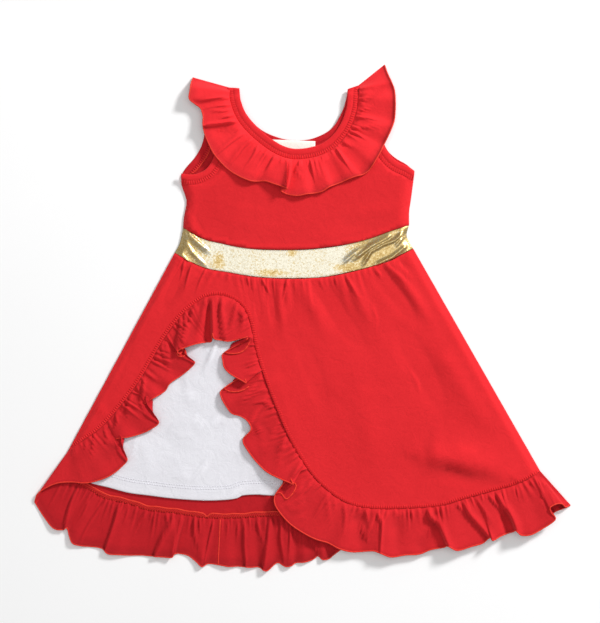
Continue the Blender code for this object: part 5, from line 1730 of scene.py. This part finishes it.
# %% Sew the bindings
LADDER = math.pi / 2       # stitches that cross the seam, as the loops of a coverstitch do
LADDER_PITCH = 2.7
BINDING_LADDER = 4.6       # length of a stitch across a binding
NECK_LADDER_AT = 0.76      # share of the binding's width where the stitches lie
ARMHOLE_LADDER_AT = 0.74
BINDING_THREAD = 0.5       # radius of the thread


def ladder_on(piece, line, length):
    return stitches_on(surface_of(piece), line, LADDER_PITCH, length, LADDER)


neck_line = binding_stitch_line(NECK_FRONT, -1, NECK_LADDER_AT)
neck_pairs = ladder_on(neck_binding_front, neck_line, BINDING_LADDER)
neck_stitches = add_stitches("neck_coverstitch", neck_pairs, BINDING_THREAD, RED_THREAD)
armhole_pairs = []
for piece, (_, rows, side, _, _, underarm) in zip(armhole_bindings, ARMHOLES):
    armhole_line = binding_stitch_line(rows, side, ARMHOLE_LADDER_AT, underarm)
    armhole_pairs += ladder_on(piece, armhole_line, BINDING_LADDER)
armhole_stitches = add_stitches(
    "armhole_coverstitch", armhole_pairs, BINDING_THREAD, RED_THREAD)
print("stitches across the armholes' bindings:", len(armhole_pairs))

# %% Sew the front ruffle's seam and the underskirt's hem
LINE_STEP = 3.0            # spacing of the points of a line of stitches
SKIRT_LADDER = 3.6
SKIRT_LADDER_IN = 2.4      # from the seam to the middle of its stitches
SKIRT_THREAD = 0.56
HEM_DEPTH = 13.5
HEM_ROWS_APART = 3.0
HEM_STITCH = 2.2
HEM_THREAD = 0.34

skirt_line = moved_out(Seam(FRONT_SEAM).samples(LINE_STEP), SKIRT_LADDER_IN)
skirt_pairs = ladder_on(skirt_front, skirt_line, SKIRT_LADDER)
skirt_stitches = add_stitches("front_seam_coverstitch", skirt_pairs, SKIRT_THREAD, RED_THREAD)
hem_line = Seam(UNDERSKIRT_HEM).samples(LINE_STEP)
hem_surface = surface_of(underskirt)
hem_pairs = []
for depth in (HEM_DEPTH, HEM_DEPTH + HEM_ROWS_APART):
    hem_pairs += stitches_on(hem_surface, moved_out(hem_line, depth), LINE_STEP, HEM_STITCH)
hem_stitches = add_stitches("underskirt_hem_stitches", hem_pairs, HEM_THREAD, WHITE_THREAD)
print("stitches:", sum(len(p.data.polygons) for p in (
    neck_stitches, armhole_stitches, skirt_stitches, hem_stitches)), "faces")

# %% [markdown]
# ## The inside of the back hem
#
# Below the underskirt the inside of the back shows, so its serged seam allowance shows too: a
# narrow strip that stands up a little from the seam, with orange thread along its raw edge.

# %% Raise the seam allowance
ALLOWANCE = 4.6
ALLOWANCE_FROM = 20.0      # it starts this far along the seam, under the corner
ALLOWANCE_TO = 372.0       # and ends under the front ruffle
KINK_X = -112.0            # where the seam was caught in a small pucker
KINK_DEPTH = 3.4
KINK_WIDTH = 2.6
ALLOWANCE_STEP = 2.0


def allowance_grid():
    """Rows of points from the seam to the raw edge, which stands higher and waves more."""
    count = round((ALLOWANCE_TO - ALLOWANCE_FROM) / ALLOWANCE_STEP)
    line = [BACK_ROOT.at(lerp(ALLOWANCE_FROM, ALLOWANCE_TO, i / count)) for i in range(count + 1)]
    grid = []
    for part in (0.0, 0.3, 0.6, 0.85, 1.0):
        row = []
        for i, (x, y) in enumerate(moved_out(line, ALLOWANCE * part)):
            wave = 0.5 * math.sin(i * 0.55) + 0.35 * math.sin(i * 0.21 + 1)
            kink = dip(KINK_DEPTH, KINK_WIDTH, x - KINK_X)
            row.append((x, y + part * (wave * 0.8 - kink),
                        1.0 + JERSEY + part * (0.9 + 0.35 * wave)))
        grid.append(row)
    return grid


allowance_rows = allowance_grid()
allowance = add_sheet("back_seam_allowance", allowance_rows, (RED_INSIDE, RED_INSIDE))
print("seam allowance:", len(allowance.data.polygons), "faces")

# %% Sew and serge the seam allowance
LOOP_PITCH = 2.6
LOOP_THREAD = 0.3
LOOP_DROP = 0.1
SEAM_STITCH = 1.5
SEAM_THREAD = 0.36

allowance_serging = add_serging(
    "back_seam_serging", lowered(allowance_rows[-1], BACK_DROP), *ALLOWANCE_SERGE)
loop_ends = [spaced(lowered(allowance_rows[row], LOOP_DROP), LOOP_PITCH) for row in (0, -1)]
loop_pairs = [
    (low, high) for low, high in zip(*loop_ends) if (high - low).length < 2 * ALLOWANCE]
allowance_loops = add_stitches("back_seam_loops", loop_pairs, LOOP_THREAD, ORANGE_THREAD)
seam_spots = spaced(allowance_rows[0], SEAM_STITCH)
seam_pairs = list(zip(seam_spots[::2], seam_spots[1::2]))
allowance_seam = add_stitches("back_seam_stitches", seam_pairs, SEAM_THREAD, ORANGE_THREAD)
print("loops over the raw edge:", len(loop_pairs), "stitches in the seam:", len(seam_pairs))

# %% [markdown]
# ## Raw edges in other places
#
# Three more raw edges are serged: the edges that curl back over the front ruffle, the inside of
# the left armhole, and the seam that joins the back ruffle's two lengths. The threads are dropped
# on the cloth that they lie on, so they follow its creases.

# %% Serge the edges that curl back over the front ruffle
def path_on(surfaces, line, step, above=0.0, least=None):
    """A line laid on the uppermost of some surfaces.

    Beside them it lies at the least height, and without one it leaves those spots out."""
    path = []
    for x, y in Seam(line).samples(step):
        heights = [height_on(tree, x, y) for tree in surfaces] + [least]
        heights = [height for height in heights if height is not None]
        if heights:
            path.append((x, y, max(heights) + above))
    return path


ruffle_surface = surface_of(front_ruffle)
for i, edge in enumerate(CURLED_EDGES):
    path = path_on([ruffle_surface], [from_photo(x, y) for x, y in edge], 1.2, above=0.1)
    add_serging(f"curled_edge_serging_{i + 1}", path, *CURL_SERGE)

# %% Serge the raw edge inside the left armhole
ARMHOLE_SERGE = [(-107, 200), (-112, 190), (-119, 180), (-125, 173), (-131, 169)]
armhole_surfaces = [surface_of(bodice_back), surface_of(armhole_bindings[0])]
armhole_path = path_on(armhole_surfaces, ARMHOLE_SERGE, 1.5, least=1.0)
armhole_serging = add_serging("armhole_serging", armhole_path, *CURL_SERGE)
print("armhole thread:", len(armhole_serging.data.polygons), "faces")

# %% Serge the seam that joins the ruffle's lengths
RUFFLE_JOIN_X = -98.0
middle_row = back_grid[len(back_grid) // 2]
join_column = min(range(len(middle_row)), key=lambda i: abs(middle_row[i][0] - RUFFLE_JOIN_X))
join_path = [row[join_column] for row in back_grid[1:]]
join_serging = add_serging("ruffle_join_serging", join_path, *JOIN_SERGE)
print("joining seam at", round(join_path[0][0]), "mm")

# %% [markdown]
# ## What the cloth was cut to
#
# A gathered piece was cut wider than it now lies.

# %% [markdown]
# ## Camera, floor and light
#
# The dress was photographed from straight above, so the camera looks down through a long lens,
# which keeps the hem as large as the neck. A soft light above the camera makes the foil shine. A
# smaller, stronger one from the upper right draws the folds, and a weak one from the left and the
# white surroundings fill the shade.

# %% Set the camera
PHOTO_MIDDLE = (300.0, 311.5)    # pixels
LENS = 100.0
SENSOR = 36.0
DRESS_TOP = 6.0            # the plane that the scale holds in

camera_data = bpy.data.cameras.new("camera")
camera_data.lens = LENS
camera_data.sensor_fit = "HORIZONTAL"
camera_data.sensor_width = SENSOR
camera_data.clip_end = 20.0
camera = bpy.data.objects.new("camera", camera_data)
bpy.context.scene.collection.objects.link(camera)
distance = PHOTO_WIDTH * PIXEL * LENS / SENSOR + DRESS_TOP
middle_x, middle_y = from_photo(*PHOTO_MIDDLE)
camera.location = (middle_x * MM, middle_y * MM, distance * MM)
bpy.context.scene.camera = camera
print("camera height:", round(distance), "mm")

# %% Lay the floor
FLOOR_SIZE = 8.0
FLOOR_Z = -0.0002          # a little under the dress, so that the two never share a plane

bpy.ops.mesh.primitive_plane_add(size=FLOOR_SIZE, location=(0, 0, FLOOR_Z))
floor = bpy.context.active_object
floor.name = "floor"
paper, paper_shader, paper_place = new_material("floor_paper", (0.93, 0.93, 0.93), roughness=0.9)
mottle_with_painted_shade(paper, paper_shader, paper_place, (0.955, 0.955, 0.955), (0.97, 0.97, 0.97), ((0.4, 1.0),))
floor.data.materials.append(paper)
print("floor:", FLOOR_SIZE, "m wide")


# %% Set the lights
SURROUNDINGS = 0.40        # strength of the white surroundings


def add_light(name, place, size, power):
    """A square light that looks at the middle of the dress."""
    data = bpy.data.lights.new(name, "AREA")
    data.shape = "SQUARE"
    data.size = size
    data.energy = power
    light = bpy.data.objects.new(name, data)
    light.location = place
    light.rotation_euler = (-Vector(place)).to_track_quat("-Z", "Y").to_euler()
    bpy.context.scene.collection.objects.link(light)


add_light("overhead_light", (0.1, 0.2, 2.8), size=2.4, power=20)
add_light("key_light", (2.2, 2.0, 1.65), size=0.6, power=112)
add_light("fill_light", (-2.0, -0.4, 2.0), size=1.6, power=2)
world = bpy.data.worlds.new("studio")
world.use_nodes = True
world.node_tree.nodes["Background"].inputs["Color"].default_value = (1.0, 1.0, 1.0, 1.0)
world.node_tree.nodes["Background"].inputs["Strength"].default_value = SURROUNDINGS
bpy.context.scene.world = world
bpy.context.scene.view_settings.view_transform = "Standard"
print("lights:", [light.name for light in bpy.data.lights])
